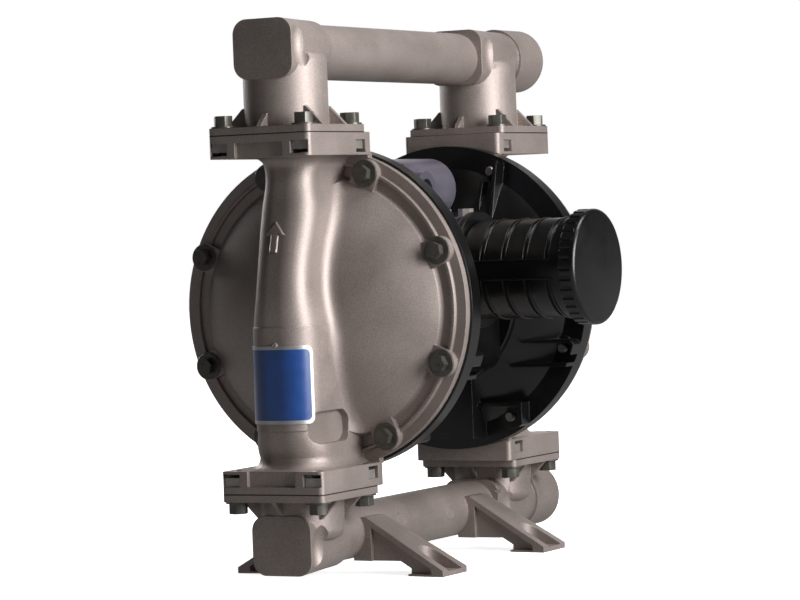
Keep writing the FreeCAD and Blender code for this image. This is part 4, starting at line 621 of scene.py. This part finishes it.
@dataclass
class Castings:
    """The wetted castings: two fluid covers and two manifolds, and what is cast on or shows at them.

    Attributes:
        names: The nodes.
        arrow_y: How far the arrow's middle lies from the column's middle, in mm.
        arrow_low: Height of the arrow's foot, in mm.
        arrow_neck: Height where its shaft meets its head.
        arrow_tip: Height of its tip.
        shaft_half: Half the width of the shaft.
        head_half: Half the width of the head.
        flank: Width of the arrow's sloping flanks.
        rise: Height of the arrow.
        root: Depth of the arrow's underside below the surface.
        skirt: Depth at which its flanks meet the surface.
        arrow_strips: Number of strips that its top is bent in, each way.
        arrow_edge: Angle in degrees above which its edges stay hard.
        flange_half: Half the side of the square manifold flanges.
        flange_corner: Radius of their corners.
        corner_steps: Steps round each corner.
        joint_heights: Heights of the two flange joints.
        seal_width: Width of the seal's edge that shows in the joint.
        seal_proud: How far it stands out.
        tube_height: Height of the lower tube's axis.
        tube_radius: Radius of the tube.
        pin_marks: Place along X, and angle above the tube's side in degrees, of each mark.
        mark_radius: Radius of the marks.
        mark_width: Width of the raised line round a mark.
        mark_rise: Height of that line.
        mark_steps: Number of steps round a mark.
    """

    names: tuple[str, ...] = (*both_sides("fluid_cover"), "outlet_manifold", "inlet_manifold")
    arrow_y: float = 1.6
    arrow_low: float = 237.6
    arrow_neck: float = 249.7
    arrow_tip: float = 260.6
    shaft_half: float = 3.0
    head_half: float = 8.6
    flank: float = 0.9
    rise: float = 1.3
    root: float = 0.6
    skirt: float = 0.1
    arrow_strips: int = 12
    arrow_edge: float = 18.0
    flange_half: float = 41.5
    flange_corner: float = 4.0
    corner_steps: int = 5
    joint_heights: tuple[float, ...] = (67.0, 322.0)
    seal_width: float = 0.9
    seal_proud: float = 0.12
    tube_height: float = 30.7
    tube_radius: float = 20.0
    pin_marks: tuple[tuple[float, float], ...] = ((-38.2, 13.0), (38.6, 4.4))
    mark_radius: float = 5.0
    mark_width: float = 0.9
    mark_rise: float = 0.35
    mark_steps: int = 32

    def build(self, shop: Workshop) -> None:
        """Dress the castings and add the arrows, the seal edges and the marks.

        Args:
            shop: The workshop.
        """
        shop.dress(Stuff.COATED_CASTING, *self.names)
        for side, sign in SIDES:
            self.add_arrow(shop, side, sign)
        self.add_joint_lines(shop)
        self.add_pin_marks(shop)

    def add_joint_lines(self, shop: Workshop) -> None:
        """Show the edge of the thin black seal round each of the four flange joints.

        Args:
            shop: The workshop.
        """
        shape = bmesh.new()
        straight = self.flange_half - self.flange_corner
        stops = [(corner, math.radians(90.0 * (corner + turn / self.corner_steps)))
                 for corner in range(4) for turn in range(self.corner_steps + 1)]
        for reach in (-COLUMN_REACH, COLUMN_REACH):
            for height in self.joint_heights:
                path, out = [], []
                for corner, bend in (*stops, stops[0]):
                    middle = math.radians(45.0 + 90.0 * corner)
                    up = Vector((math.cos(bend), math.sin(bend), 0.0))
                    centre = Vector((math.copysign(straight, math.cos(middle)) + reach,
                                     math.copysign(straight, math.sin(middle)), height))
                    path.append(centre + self.flange_corner * up)
                    out.append(up)
                add_ridge(shape, path, out, self.seal_width, self.seal_proud)
        shop.add(shape, "flange_seal_edges", Stuff.NITRILE_RUBBER, slot="black_rubber")

    def add_pin_marks(self, shop: Workshop) -> None:
        """Raise the round marks that the mould's pins leave on the lower tube, front and back.

        Args:
            shop: The workshop.
        """
        shape = bmesh.new()
        for along_x, angle in self.pin_marks:
            for side in (-1.0, 1.0):
                path, out = [], []
                for step in range(self.mark_steps + 1):
                    turn = FULL_TURN * step / self.mark_steps
                    bend = math.radians(angle) + self.mark_radius * math.sin(turn) / self.tube_radius
                    up = Vector((0.0, side * math.cos(bend), math.sin(bend)))
                    path.append(Vector((along_x + self.mark_radius * math.cos(turn), 0.0, self.tube_height))
                                + self.tube_radius * up)
                    out.append(up)
                add_ridge(shape, path, out, self.mark_width, self.mark_rise)
        shop.add(shape, "mould_pin_marks", Stuff.COATED_CASTING, slot="cast_metal")

    def add_arrow(self, shop: Workshop, side: str, sign: float) -> None:
        """Raise an upward arrow with sloping flanks on a column.

        Args:
            shop: The workshop.
            side: left or right.
            sign: -1 for the left column, 1 for the right.
        """
        half = [(self.shaft_half, self.arrow_low), (self.shaft_half, self.arrow_neck),
                (self.head_half, self.arrow_neck)]
        outline = [*half, (0.0, self.arrow_tip), *((-across, height) for across, height in reversed(half))]
        shape = bmesh.new()
        edges = closed_loop(shape, [Vector((0.0, across + self.arrow_y, height)) * MM
                                    for across, height in outline])
        bmesh.ops.contextual_create(shape, geom=edges)
        shares = [2.0 * cut / self.arrow_strips - 1.0 for cut in range(1, self.arrow_strips)]
        upright, level = Vector((0.0, 1.0, 0.0)), Vector((0.0, 0.0, 1.0))
        for share in shares:
            cut_faces(shape, (self.arrow_y + self.head_half * share) * upright * MM, upright, ON_PLANE)
        for share in shares:
            height = self.arrow_neck + (self.arrow_neck - self.arrow_low) * share
            cut_faces(shape, height * level * MM, level, ON_PLANE)
        buried = set(shape.verts)
        raised = bmesh.ops.extrude_face_region(shape, geom=list(shape.faces))["geom"]
        crown = [item for item in raised if isinstance(item, BMFace)]
        bmesh.ops.inset_region(shape, faces=crown, thickness=self.flank * MM, use_boundary=True,
                               use_even_offset=True)
        top = {vert for face in crown for vert in face.verts}
        ground = surface_of(shop.nodes[f"{side}_fluid_cover"])
        for vert in shape.verts:
            start = Vector((sign * OUTSIDE, vert.co.y, vert.co.z))
            hit = ground.ray_cast(start, Vector((-sign, 0.0, 0.0)))[0]
            lift = self.rise if vert in top else -self.root if vert in buried else -self.skirt
            vert.co.x = hit.x + sign * lift * MM
        shop.add(shape, f"{side}_flow_arrow", Stuff.COATED_CASTING, slot="cast_metal",
                 smooth=self.arrow_edge)


@dataclass
class AirSection:
    """The dry middle: air covers, centre housing, air valve and muffler.

    Attributes:
        mouldings: Nodes of black plastic.
        castings: Nodes of the air valve.
        gaskets: The gasket nodes.
        muffler_height: Height of the muffler's axis, in mm.
        muffler_radius: Radius of its tube.
        slits: Number of slits along it.
        first_slit: Distance of the first lip from the pump's middle plane.
        slit_pitch: Spacing of the slits.
        slit_half_angle: Half the angle that a lip runs round, in degrees.
        lip_width: Width of the lips.
        lip_height: Height of the lips.
        lip_steps: Number of steps in half a lip.
        lip_taper: Number of those steps over which its end narrows.
        rail_angle: Angle of the rails above and below the flank's middle, in degrees.
        rail_reach: Distances of the rails' points from the pump's middle plane.
        rail_width: Width of the rails.
        rail_height: Height of the rails.
        line_edge: Angle in degrees above which the edges of lips and rails stay hard.
    """

    mouldings: tuple[str, ...] = (*both_sides("air_cover"), "centre_housing", "muffler_plate",
                                  "muffler_body", "muffler_cap")
    castings: tuple[str, ...] = ("air_valve_housing", *both_sides("valve_end_cap"))
    gaskets: tuple[str, ...] = ("valve_gasket", "muffler_gasket")
    muffler_height: float = 218.0
    muffler_radius: float = 36.7
    slits: int = 4
    first_slit: float = 95.0
    slit_pitch: float = 17.6
    slit_half_angle: float = 74.0
    lip_width: float = 2.0
    lip_height: float = 0.7
    lip_steps: int = 24
    lip_taper: int = 9
    rail_angle: float = 10.8
    rail_reach: tuple[float, ...] = (76.0, 100.0, 125.0, 149.5)
    rail_width: float = 1.6
    rail_height: float = 0.9
    line_edge: float = 50.0

    def build(self, shop: Workshop) -> None:
        """Dress the air section and add the lines of the muffler.

        Args:
            shop: The workshop.
        """
        shop.dress(Stuff.MOULDED_BLACK, *self.mouldings)
        shop.dress(Stuff.VALVE_CASTING, *self.castings)
        shop.dress(Stuff.GASKET_FIBRE, *self.gaskets)
        shop.dress(Stuff.ZINC_PLATE, "valve_bolts")
        self.add_muffler_lines(shop)

    def add_muffler_lines(self, shop: Workshop) -> None:
        """Raise the moulded lines of the muffler: a lip beside each slit, and two rails on each flank.

        Args:
            shop: The workshop.
        """
        shape = bmesh.new()
        for turn in range(self.slits):
            reach = -(self.first_slit + turn * self.slit_pitch)
            for middle in (90.0, 270.0):
                bends = [math.radians(middle + self.slit_half_angle * step / self.lip_steps)
                         for step in range(-self.lip_steps, self.lip_steps + 1)]
                out = [Vector((math.cos(bend), 0.0, math.sin(bend))) for bend in bends]
                path = [Vector((0.0, reach, self.muffler_height)) + self.muffler_radius * up for up in out]
                add_ridge(shape, path, out, self.lip_width, self.lip_height, self.lip_taper)
        for middle in (0.0, 180.0):
            for turn in (-self.rail_angle, self.rail_angle):
                bend = math.radians(middle + turn)
                up = Vector((math.cos(bend), 0.0, math.sin(bend)))
                foot = Vector((0.0, 0.0, self.muffler_height)) + self.muffler_radius * up
                path = [foot + Vector((0.0, -reach, 0.0)) for reach in self.rail_reach]
                add_ridge(shape, path, [up] * len(path), self.rail_width, self.rail_height)
        shop.add(shape, "muffler_moulded_lines", Stuff.MOULDED_BLACK, slot="black_plastic",
                 smooth=self.line_edge)


@dataclass
class WorkingParts:
    """What moves and seals inside: plates, shaft, spool, balls and seats.

    Attributes:
        steel: Nodes of turned steel.
        rubber: Nodes of rubber that don't bend.
        white: Nodes of PTFE.
    """

    steel: tuple[str, ...] = (
        "diaphragm_shaft", "valve_spool",
        *both_sides("air_plate", "fluid_plate", "shaft_bolt", "pilot_pin", "inlet_seat", "outlet_seat"))
    rubber: tuple[str, ...] = (*both_sides("shaft_seal"), "inlet_seat_seals", "outlet_seat_seals")
    white: tuple[str, ...] = both_sides("inlet_ball", "outlet_ball", "shaft_bearing")

    def build(self, shop: Workshop) -> None:
        """Dress the working parts.

        Args:
            shop: The workshop.
        """
        shop.dress(Stuff.TURNED_STEEL, *self.steel)
        shop.dress(Stuff.NITRILE_RUBBER, *self.rubber)
        shop.dress(Stuff.PTFE, *self.white)


@dataclass
class Diaphragms:
    """The two moulded diaphragms, clamped at the rim and carried by the shaft's plates.

    Each is a sheet at mid thickness. It stands further from the pump's middle as the radius
    grows, so a blend along the shaft bends all points of one radius alike.

    Attributes:
        thickness: Thickness of the rubber, in mm.
        hole: Radius of the hole for the shaft bolt.
        flat: Radius of the middle, which moves with the plates.
        grip: Radius outside which the covers hold the rim.
        rings: Number of rings of faces in the free part between the two.
        steps: Number of faces round.
    """

    thickness: float = 3.0
    hole: float = 5.05
    flat: float = 58.0
    grip: float = 84.0
    rings: int = 14
    steps: int = 96

    def build(self, shop: Workshop) -> None:
        """Put a diaphragm sheet, shaped to bend with the shaft, in place of each plain one."""
        for side, sign in SIDES:
            self.add_diaphragm(shop, f"{side}_diaphragm", Vector((sign, 0.0, 0.0)))

    def add_diaphragm(self, shop: Workshop, node: str, out: Vector) -> None:
        """One diaphragm, which stands for its node.

        Args:
            shop: The workshop.
            node: The node that it stands for.
            out: Direction from the pump's middle to this side.
        """
        low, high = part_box(node)
        inner, outer = sorted(abs(corner.x) / MM for corner in (low, high))
        middle, rim = inner + self.thickness / 2.0, outer - self.thickness / 2.0
        shares = [ring / self.rings for ring in range(self.rings + 1)]
        free = [(self.flat + (self.grip - self.flat) * share, middle + (rim - middle) * share)
                for share in shares]
        radius = (high.y - low.y) / 2.0 / MM
        sheet = turned([(self.hole, middle), *free, (radius, rim)], self.steps)
        axis = Vector((0.0, 0.0, PUMP_CENTRE)) * MM
        bmesh.ops.transform(sheet, matrix=Matrix.Translation(axis) @ along(out), verts=sheet.verts)
        made = shop.add(sheet, f"{node}_flexing", Stuff.NITRILE_RUBBER, body=None, slot="black_rubber")
        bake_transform(made)
        rubber = made.modifiers.new("rubber", "SOLIDIFY")
        rubber.thickness = self.thickness * MM
        rubber.offset = 0.0
        rubber.use_even_offset = True
        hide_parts(node)
        shop.dressed.add(node)


@dataclass
class Fasteners:
    """Bolts, washers and nuts.

    Attributes:
        washers: The washer nodes that keep their shape.
        nuts: The nut nodes, which keep their shape.
        flats: Width of the cover bolts' heads across the flats, in mm.
        flange_flats: Width of the manifold bolts' heads across the flats.
        head: Height of the cover bolts' heads.
        flange_head: Height of the manifold bolts' heads.
        radius: Thread radius.
        thread: Length of the cover bolts' thread.
        flange_thread: Length of the manifold bolts' thread.
        washer_radius: Outer radius of the cover bolts' washers.
        washer_thickness: Thickness of those washers.
        washer_play: Play of a washer round its bolt.
        washer_round: Rounding of its rims.
        washer_steps: Number of steps round a washer.
        lighter_thread_reach: Distance from the middle within which the cover bolts' threads are drawn
            lighter, in zinc plate.
        bolt_circle: Radius of the ring of cover bolts.
        bolt_angles: Angles of the cover bolts from the top, in degrees, on either side.
        twists: How far a cover bolt is turned for its number and its flank, in degrees.
        half_pitch: Half the spacing of the manifold bolts.
        flange_twists: How far a manifold bolt is turned for its place across, beside and at
            the end, in degrees.
    """

    washers: tuple[str, ...] = ("outlet_manifold_washers", "inlet_manifold_washers")
    nuts: tuple[str, ...] = ("outlet_manifold_nuts", "inlet_manifold_nuts")
    flats: float = 10.8
    flange_flats: float = 12.2
    head: float = 6.4
    flange_head: float = 8.0
    radius: float = 4.0
    thread: float = 22.0
    flange_thread: float = 20.0
    washer_radius: float = 10.0
    washer_thickness: float = 1.2
    washer_play: float = 0.4
    washer_round: float = 0.25
    washer_steps: int = 40
    lighter_thread_reach: float = 92.0
    bolt_circle: float = 105.2
    bolt_angles: tuple[float, ...] = (22.8, 67.6, 112.5, 151.5)
    twists: tuple[float, float] = (17.0, 8.0)
    half_pitch: float = 33.0
    flange_twists: tuple[float, float, float] = (13.0, 31.0, 7.0)

    def build(self, shop: Workshop) -> None:
        """Dress the fasteners and put detailed screws in place of the plain ones.

        Args:
            shop: The workshop.
        """
        shop.dress(Stuff.BLACK_OXIDE, *self.washers)
        shop.dress(Stuff.ZINC_PLATE, *self.nuts)
        for side, sign in SIDES:
            self.add_cover_bolts(shop, side, sign)
        for row, sign in (("outlet", 1.0), ("inlet", -1.0)):
            self.add_manifold_bolts(shop, row, sign)

    def add_cover_bolts(self, shop: Workshop, side: str, sign: float) -> None:
        """Put eight screws through one fluid cover, heads outwards, with their washers.

        Args:
            shop: The workshop.
            side: left or right.
            sign: -1 for the left cover, 1 for the right.
        """
        node = f"{side}_cover_bolts"
        low, high = (corner.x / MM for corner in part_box(node))
        outer, tip = (high, low) if sign > 0 else (low, high)
        seat = abs(outer) - self.head
        screw = HexScrew(self.flats, self.head, self.radius, seat - abs(tip), self.thread)
        by_number, by_flank = self.twists
        turn = along(Vector((sign, 0.0, 0.0)))
        places = []
        for number, angle in enumerate(self.bolt_angles):
            for flank in (-1.0, 1.0):
                bent = math.radians(angle)
                middle = Vector((sign * seat, flank * self.bolt_circle * math.sin(bent),
                                 PUMP_CENTRE + self.bolt_circle * math.cos(bent))) * MM
                twist = Matrix.Rotation(math.radians(by_number * number + by_flank * flank), 4, "Z")
                places.append(Matrix.Translation(middle) @ turn @ twist)
        made = self.add_set(shop, screw.pattern(), places, node)
        made.data.materials.append(shop.material(Stuff.ZINC_PLATE))
        # Faces nearer the middle than this get the lighter zinc plate; the rest stay black oxide.
        for face in made.data.polygons:
            if abs(face.center.x) < self.lighter_thread_reach * MM:
                face.material_index = 1
        self.add_set(shop, self.washer(), places, f"{side}_cover_washers")

    def washer(self) -> BMesh:
        """Make a flat washer with rounded rims, under a head whose bearing face is at height 0.

        Returns:
            The washer, in metres.
        """
        hole, rim = self.radius + self.washer_play, self.washer_radius
        low, soft = -self.washer_thickness, self.washer_round
        profile = [(hole, low), (rim, low), (rim, -soft), (rim - soft, 0.0), (hole + soft, 0.0),
                   (hole, -soft), (hole, low)]
        return turned(profile, self.washer_steps)

    def add_manifold_bolts(self, shop: Workshop, row: str, sign: float) -> None:
        """Put eight screws through the flanges of one manifold, heads away from the pump.

        Args:
            shop: The workshop.
            row: outlet or inlet.
            sign: 1 for the outlet manifold on top, -1 for the inlet manifold.
        """
        node = f"{row}_manifold_bolts"
        low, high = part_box(node)
        outer, tip = (high.z / MM, low.z / MM) if sign > 0 else (low.z / MM, high.z / MM)
        seat = outer - sign * self.flange_head
        screw = HexScrew(self.flange_flats, self.flange_head, self.radius, abs(seat - tip),
                         self.flange_thread)
        by_across, by_beside, by_end = self.flange_twists
        turn = along(Vector((0.0, 0.0, sign)))
        places = []
        for end in (-1.0, 1.0):
            for across in (-1.0, 1.0):
                for beside in (-1.0, 1.0):
                    middle = Vector((end * COLUMN_REACH + across * self.half_pitch,
                                     beside * self.half_pitch, seat)) * MM
                    angle = by_across * across + by_beside * beside + by_end * end
                    twist = Matrix.Rotation(math.radians(angle), 4, "Z")
                    places.append(Matrix.Translation(middle) @ turn @ twist)
        self.add_set(shop, screw.pattern(), places, node)

    def add_set(self, shop: Workshop, pattern: BMesh, places: list[Matrix],
                node: str) -> Object:
        """Make one set of fasteners and let it stand for its node.

        Args:
            shop: The workshop.
            pattern: One fastener, in metres, which is freed here.
            places: Where each one goes.
            node: The node that the set stands for.

        Returns:
            The new object.
        """
        shape = bmesh.new()
        add_copies(shape, pattern, places)
        made = shop.add(shape, f"{node}_detailed", Stuff.BLACK_OXIDE, slot="black_oxide")
        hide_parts(node)
        shop.dressed.add(node)
        return made


@dataclass
class RatingPlate:
    """The bare foil plate that wraps the nose of the near column.

    Attributes:
        axis_x: Distance from the middle of the pump to the axis of the nose's bend, in mm.
        bend: Radius of the foil's inner face.
        flat: Half the width of the flat between the two bends.
        half_angle: Angle of each bend, in degrees.
        low: Height of the lower edge.
        high: Height of the upper edge.
        thickness: Thickness of the foil.
        seat_gap: Gap between the foil and the casting.
        ink_root: Depth of the printed field's underside in the foil.
        ink_rise: Height of the printed field over the foil.
        corner: Radius of the corners.
        corner_steps: Steps round each corner.
        corner_loss: How much a corner's radius shrinks for each mm that a sheet stays in.
        border: Width of the silver border.
        bends: Number of narrow flats that the sheet is bent in.
        screw_y: How far the drive screw lies from the nose's middle.
        screw_height: Height of the drive screw at the upper border.
        screw_radius: Radius of its head.
        screw_root: Depth of the head's underside.
        screw_dome: The head's outline: radius as a share of the whole, and height.
        screw_steps: Number of steps round the head.
    """

    axis_x: float = 161.2
    bend: float = 20.52
    flat: float = 5.1
    half_angle: float = 68.0
    low: float = 116.25
    high: float = 171.75
    thickness: float = 0.6
    seat_gap: float = 0.02
    ink_root: float = 0.05
    ink_rise: float = 0.07
    corner: float = 5.0
    corner_steps: int = 8
    corner_loss: float = 0.6
    border: float = 2.6
    bends: int = 48
    screw_y: float = -1.2
    screw_height: float = 172.3
    screw_radius: float = 2.2
    screw_root: float = 1.0
    screw_dome: tuple[tuple[float, float], ...] = (
        (1.0, 0.25), (0.8, 0.7), (0.45, 0.95), (0.3, 0.6), (0.0, 0.55))
    screw_steps: int = 28

    def build(self, shop: Workshop) -> None:
        """Make the foil with its round corners, the blue field printed on it, and its screw.

        Args:
            shop: The workshop.
        """
        foil = self.sheet(shop, "rating_plate_foil", Stuff.SILVER_FOIL, 0.0, self.seat_gap, self.thickness)
        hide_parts("rating_plate")
        shop.dressed.add("rating_plate")
        self.sheet(shop, "rating_plate_field", Stuff.BLUE_INK, self.border,
                   self.thickness - self.ink_root, self.thickness + self.ink_rise)
        self.add_drive_screw(shop)

    def add_drive_screw(self, shop: Workshop) -> None:
        """Add the small round-headed screw at the middle of the foil's upper border.

        Args:
            shop: The workshop.
        """
        shape = bmesh.new()
        dome = [(share * self.screw_radius, height) for share, height in self.screw_dome]
        head = turned([(0.0, -self.screw_root), (self.screw_radius, -self.screw_root), *dome],
                      self.screw_steps)
        seat = Vector((-(self.axis_x + self.bend + self.thickness), self.screw_y, self.screw_height)) * MM
        add_copies(shape, head, [Matrix.Translation(seat) @ along(Vector((-1.0, 0.0, 0.0)))])
        shop.add(shape, "rating_plate_screw", Stuff.ZINC_PLATE, slot="blue_plate")

    def half_length(self) -> float:
        """Half the length of the foil round the nose, in mm."""
        return self.flat + (self.bend + self.thickness) * math.radians(self.half_angle)

    def wrapped(self, reach: float, height: float, lift: float) -> Vector:
        """A point of the sheet, wrapped round the nose.

        Args:
            reach: Distance along the sheet from its middle, in mm.
            height: Height in mm.
            lift: Distance out from the foil's inner face, in mm.

        Returns:
            The point in metres.
        """
        side = math.copysign(1.0, reach)
        bent = max(abs(reach) - self.flat, 0.0) / (self.bend + self.thickness)
        radius = self.bend + lift
        across = side * (min(abs(reach), self.flat) + radius * math.sin(bent))
        return Vector((-(self.axis_x + radius * math.cos(bent)), across, height)) * MM

    def sheet(self, shop: Workshop, name: str, stuff: Stuff, inset: float, under: float,
              over: float) -> Object:
        """Make a sheet with round corners that follows the nose.

        Args:
            shop: The workshop.
            name: Name of the piece.
            stuff: What it is made of.
            inset: How far it stays in from the foil's edge, in mm.
            under: Height of its lower face over the foil's inner face.
            over: Height of its upper face over the foil's inner face.

        Returns:
            The new piece.
        """
        shape = bmesh.new()
        half, middle = self.half_length() - inset, (self.low + self.high) / 2.0
        rise = (self.high - self.low) / 2.0 - inset
        edges = closed_loop(shape, [Vector((across * half, up * rise, 0.0))
                                    for across, up in ((-1, -1), (1, -1), (1, 1), (-1, 1))])
        bmesh.ops.contextual_create(shape, geom=edges)
        bmesh.ops.bevel(shape, geom=shape.verts, offset=self.corner - self.corner_loss * inset,
                        offset_type="OFFSET", segments=self.corner_steps, profile=0.5,
                        affect="VERTICES", material=-1)
        lengthwise = Vector((1.0, 0.0, 0.0))
        for cut in range(1, self.bends):
            cut_faces(shape, half * (2.0 * cut / self.bends - 1.0) * lengthwise, lengthwise)
        flat = list(shape.faces)
        raised = bmesh.ops.extrude_face_region(shape, geom=flat)["geom"]
        top = {v for v in raised if isinstance(v, BMVert)}
        for vert in shape.verts:
            vert.co = self.wrapped(vert.co.x, middle + vert.co.y, over if vert in top else under)
        return shop.add(shape, name, stuff, slot="blue_plate")


@dataclass
class Studio:
    """The camera at the photograph's viewing angle, soft lamps and a pale floor.

    Attributes:
        eye: Camera position in mm.
        aim: Point in the middle of the picture, in mm.
        roll: Roll of the camera in degrees.
        lens: Focal length in mm.
        sensor: Width of the sensor in mm.
        view_end: Distance to which the camera sees, in metres.
        floor_half: Half the side of the floor, in mm.
        floor_near: Distance from the middle, in metres, to which the floor shows the pump's shadow.
        floor_far: Distance, in metres, from which it is as white as the background.
        floor_glow: Strength of its glow near the pump.
        floor_white: Strength of its glow far away.
        floor_sheen: Strength of its glow in reflections.
        matt: Roughness of the floor.
        room_light: Strength of the plain light from all round.
        dark_reflection: Strength of the world's darker side in reflections.
        bright_side: Direction of the world's bright side.
        bright_span: Between these cosines of the angle to it, a reflection goes from dark to bright.
        lamps: Name, place and edge length in mm, and power in watts, of each lamp.
    """

    eye: tuple[float, float, float] = (-2224.9, -1213.5, 262.4)
    aim: tuple[float, float, float] = (8.4, 0.0, 196.8)
    roll: float = -2.2
    lens: float = 151.02
    sensor: float = 36.0
    view_end: float = 60.0
    floor_half: float = 6000.0
    floor_near: float = 0.35
    floor_far: float = 1.1
    floor_glow: float = 0.8
    floor_white: float = 1.2
    floor_sheen: float = 0.4
    matt: float = 0.9
    room_light: float = 0.04
    dark_reflection: float = 0.03
    bright_side: tuple[float, float, float] = (0.88, 0.48, 0.0)
    bright_span: tuple[float, float] = (0.72, 0.97)
    lamps: tuple[tuple[str, tuple[float, float, float], float, float], ...] = (
        ("key_lamp", (-240.0, -1250.0, 510.0), 750.0, 29.0),
        ("top_lamp", (150.0, -700.0, 1700.0), 700.0, 19.0),
        ("rim_lamp", (700.0, 1400.0, 900.0), 900.0, 16.0))

    def build(self) -> None:
        """Set up camera, lamps, world and floor."""
        self.add_camera()
        for name, place, side, power in self.lamps:
            self.add_lamp(name, Vector(place) * MM, side * MM, power)
        self.add_world()
        self.add_floor()
        bpy.context.scene.view_settings.view_transform = "Standard"

    def add_camera(self) -> None:
        """Put the camera where the photograph was taken from."""
        lens = bpy.data.cameras.new("camera")
        lens.lens = self.lens
        lens.sensor_width = self.sensor
        lens.clip_end = self.view_end
        camera = add_object("camera", lens)
        ahead = (Vector(self.aim) - Vector(self.eye)).normalized()
        right = ahead.cross(Vector((0.0, 0.0, 1.0))).normalized()
        up = right.cross(ahead)
        cosine, sine = math.cos(math.radians(self.roll)), math.sin(math.radians(self.roll))
        across, upward = cosine * right + sine * up, cosine * up - sine * right
        turn = Matrix((across, upward, -ahead)).transposed().to_4x4()
        camera.matrix_world = Matrix.Translation(Vector(self.eye) * MM) @ turn
        bpy.context.scene.camera = camera

    def add_lamp(self, name: str, place: Vector, side: float, power: float) -> None:
        """Add a square soft lamp that points at the pump.

        Args:
            name: Name of the lamp.
            place: Its centre, in metres.
            side: Edge length in metres.
            power: Radiant power in watts.
        """
        light = bpy.data.lights.new(name, "AREA")
        light.shape = "SQUARE"
        light.size = side
        light.energy = power
        lamp = add_object(name, light)
        lamp.location = place
        aim = Vector((0.0, 0.0, PUMP_CENTRE * MM)) - place
        lamp.rotation_euler = aim.to_track_quat("-Z", "Y").to_euler()

    def add_world(self) -> None:
        """White behind the pump and in its reflections, and a plain grey light on it."""
        world = bpy.data.worlds.new("studio")
        bpy.context.scene.world = world
        world.use_nodes = True
        tree = world.node_tree
        tree.nodes.clear()
        ray = add_node(tree, "ShaderNodeLightPath")
        shown = add_node(tree, "ShaderNodeMath", {"operation": "MAXIMUM"}, {
            0: ray.outputs["Is Camera Ray"], 1: ray.outputs["Is Transmission Ray"]})
        facing = add_node(tree, "ShaderNodeTexCoord").outputs["Generated"]
        towards = add_node(tree, "ShaderNodeVectorMath", {"operation": "DOT_PRODUCT"}, {
            0: facing, 1: self.bright_side})
        dark_end, bright_end = self.bright_span
        sweep = add_node(tree, "ShaderNodeMapRange", {"interpolation_type": "SMOOTHSTEP"}, {
            "Value": towards.outputs["Value"], "From Min": dark_end, "From Max": bright_end,
            "To Min": self.dark_reflection, "To Max": 1.0})
        mirrored = add_node(tree, "ShaderNodeMath", {"operation": "MULTIPLY"}, {
            0: sweep.outputs["Result"], 1: ray.outputs["Is Glossy Ray"]})
        strength = add_node(tree, "ShaderNodeMath", {"operation": "MAXIMUM"}, {
            0: mirrored.outputs[0], 1: self.room_light})
        light = add_node(tree, "ShaderNodeBackground", None, {
            "Color": linear("ffffff"), "Strength": strength.outputs[0]})
        white = add_node(tree, "ShaderNodeBackground", None, {"Color": linear("ffffff"), "Strength": 1.0})
        both = add_node(tree, "ShaderNodeMixShader", None, {
            0: shown.outputs[0], 1: light.outputs[0], 2: white.outputs[0]})
        add_node(tree, "ShaderNodeOutputWorld", None, {"Surface": both.outputs[0]})

    def add_floor(self) -> None:
        """A wide pale floor: grey to the pump's light, and white with a soft shadow to the camera."""
        shape = bmesh.new()
        bmesh.ops.create_grid(shape, x_segments=1, y_segments=1, size=self.floor_half * MM)
        mesh = finished_mesh(shape, "floor")
        floor = add_object("floor", mesh)
        made, tree = blank_material("white_paper_sweep")
        paper = add_node(tree, "ShaderNodeBsdfPrincipled", None, {
            "Base Color": linear("f4f4f4"), "Roughness": self.matt})
        felt = add_node(tree, "ShaderNodeBsdfPrincipled", None, {
            "Base Color": linear("888684"), "Roughness": self.matt})
        sheen = add_node(tree, "ShaderNodeEmission", None, {
            "Color": linear("ffffff"), "Strength": self.floor_sheen})
        place = add_node(tree, "ShaderNodeTexCoord").outputs["Object"]
        reach = add_node(tree, "ShaderNodeVectorMath", {"operation": "LENGTH"}, {0: place})
        fade = add_node(tree, "ShaderNodeMapRange", {"interpolation_type": "SMOOTHSTEP"}, {
            "Value": reach.outputs["Value"], "From Min": self.floor_near, "From Max": self.floor_far,
            "To Min": self.floor_glow, "To Max": self.floor_white})
        glow = add_node(tree, "ShaderNodeEmission", None, {
            "Color": linear("ffffff"), "Strength": fade.outputs["Result"]})
        ray = add_node(tree, "ShaderNodeLightPath")
        add_both = add_node(tree, "ShaderNodeAddShader", None, {0: paper.outputs[0], 1: glow.outputs[0]})
        mirrored = add_node(tree, "ShaderNodeMixShader", None, {
            0: ray.outputs["Is Glossy Ray"], 1: felt.outputs[0], 2: sheen.outputs[0]})
        both = add_node(tree, "ShaderNodeMixShader", None, {
            0: ray.outputs["Is Camera Ray"], 1: mirrored.outputs[0], 2: add_both.outputs[0]})
        add_node(tree, "ShaderNodeOutputMaterial", None, {"Surface": both.outputs[0]})
        mesh.materials.append(made)


def main() -> None:
    """Build the looks of the pump."""
    logging.basicConfig(level=logging.INFO, format="%(name)s: %(message)s")
    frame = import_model()
    shop = Workshop(frame)
    for part in (Castings(), AirSection(), WorkingParts(), Diaphragms(), Fasteners(), RatingPlate()):
        part.build(shop)
    Studio().build()
    left = sorted(set(shop.nodes) - shop.dressed)
    log.info("nodes without a finish: %s", left)


if __name__ == "__main__":
    main()
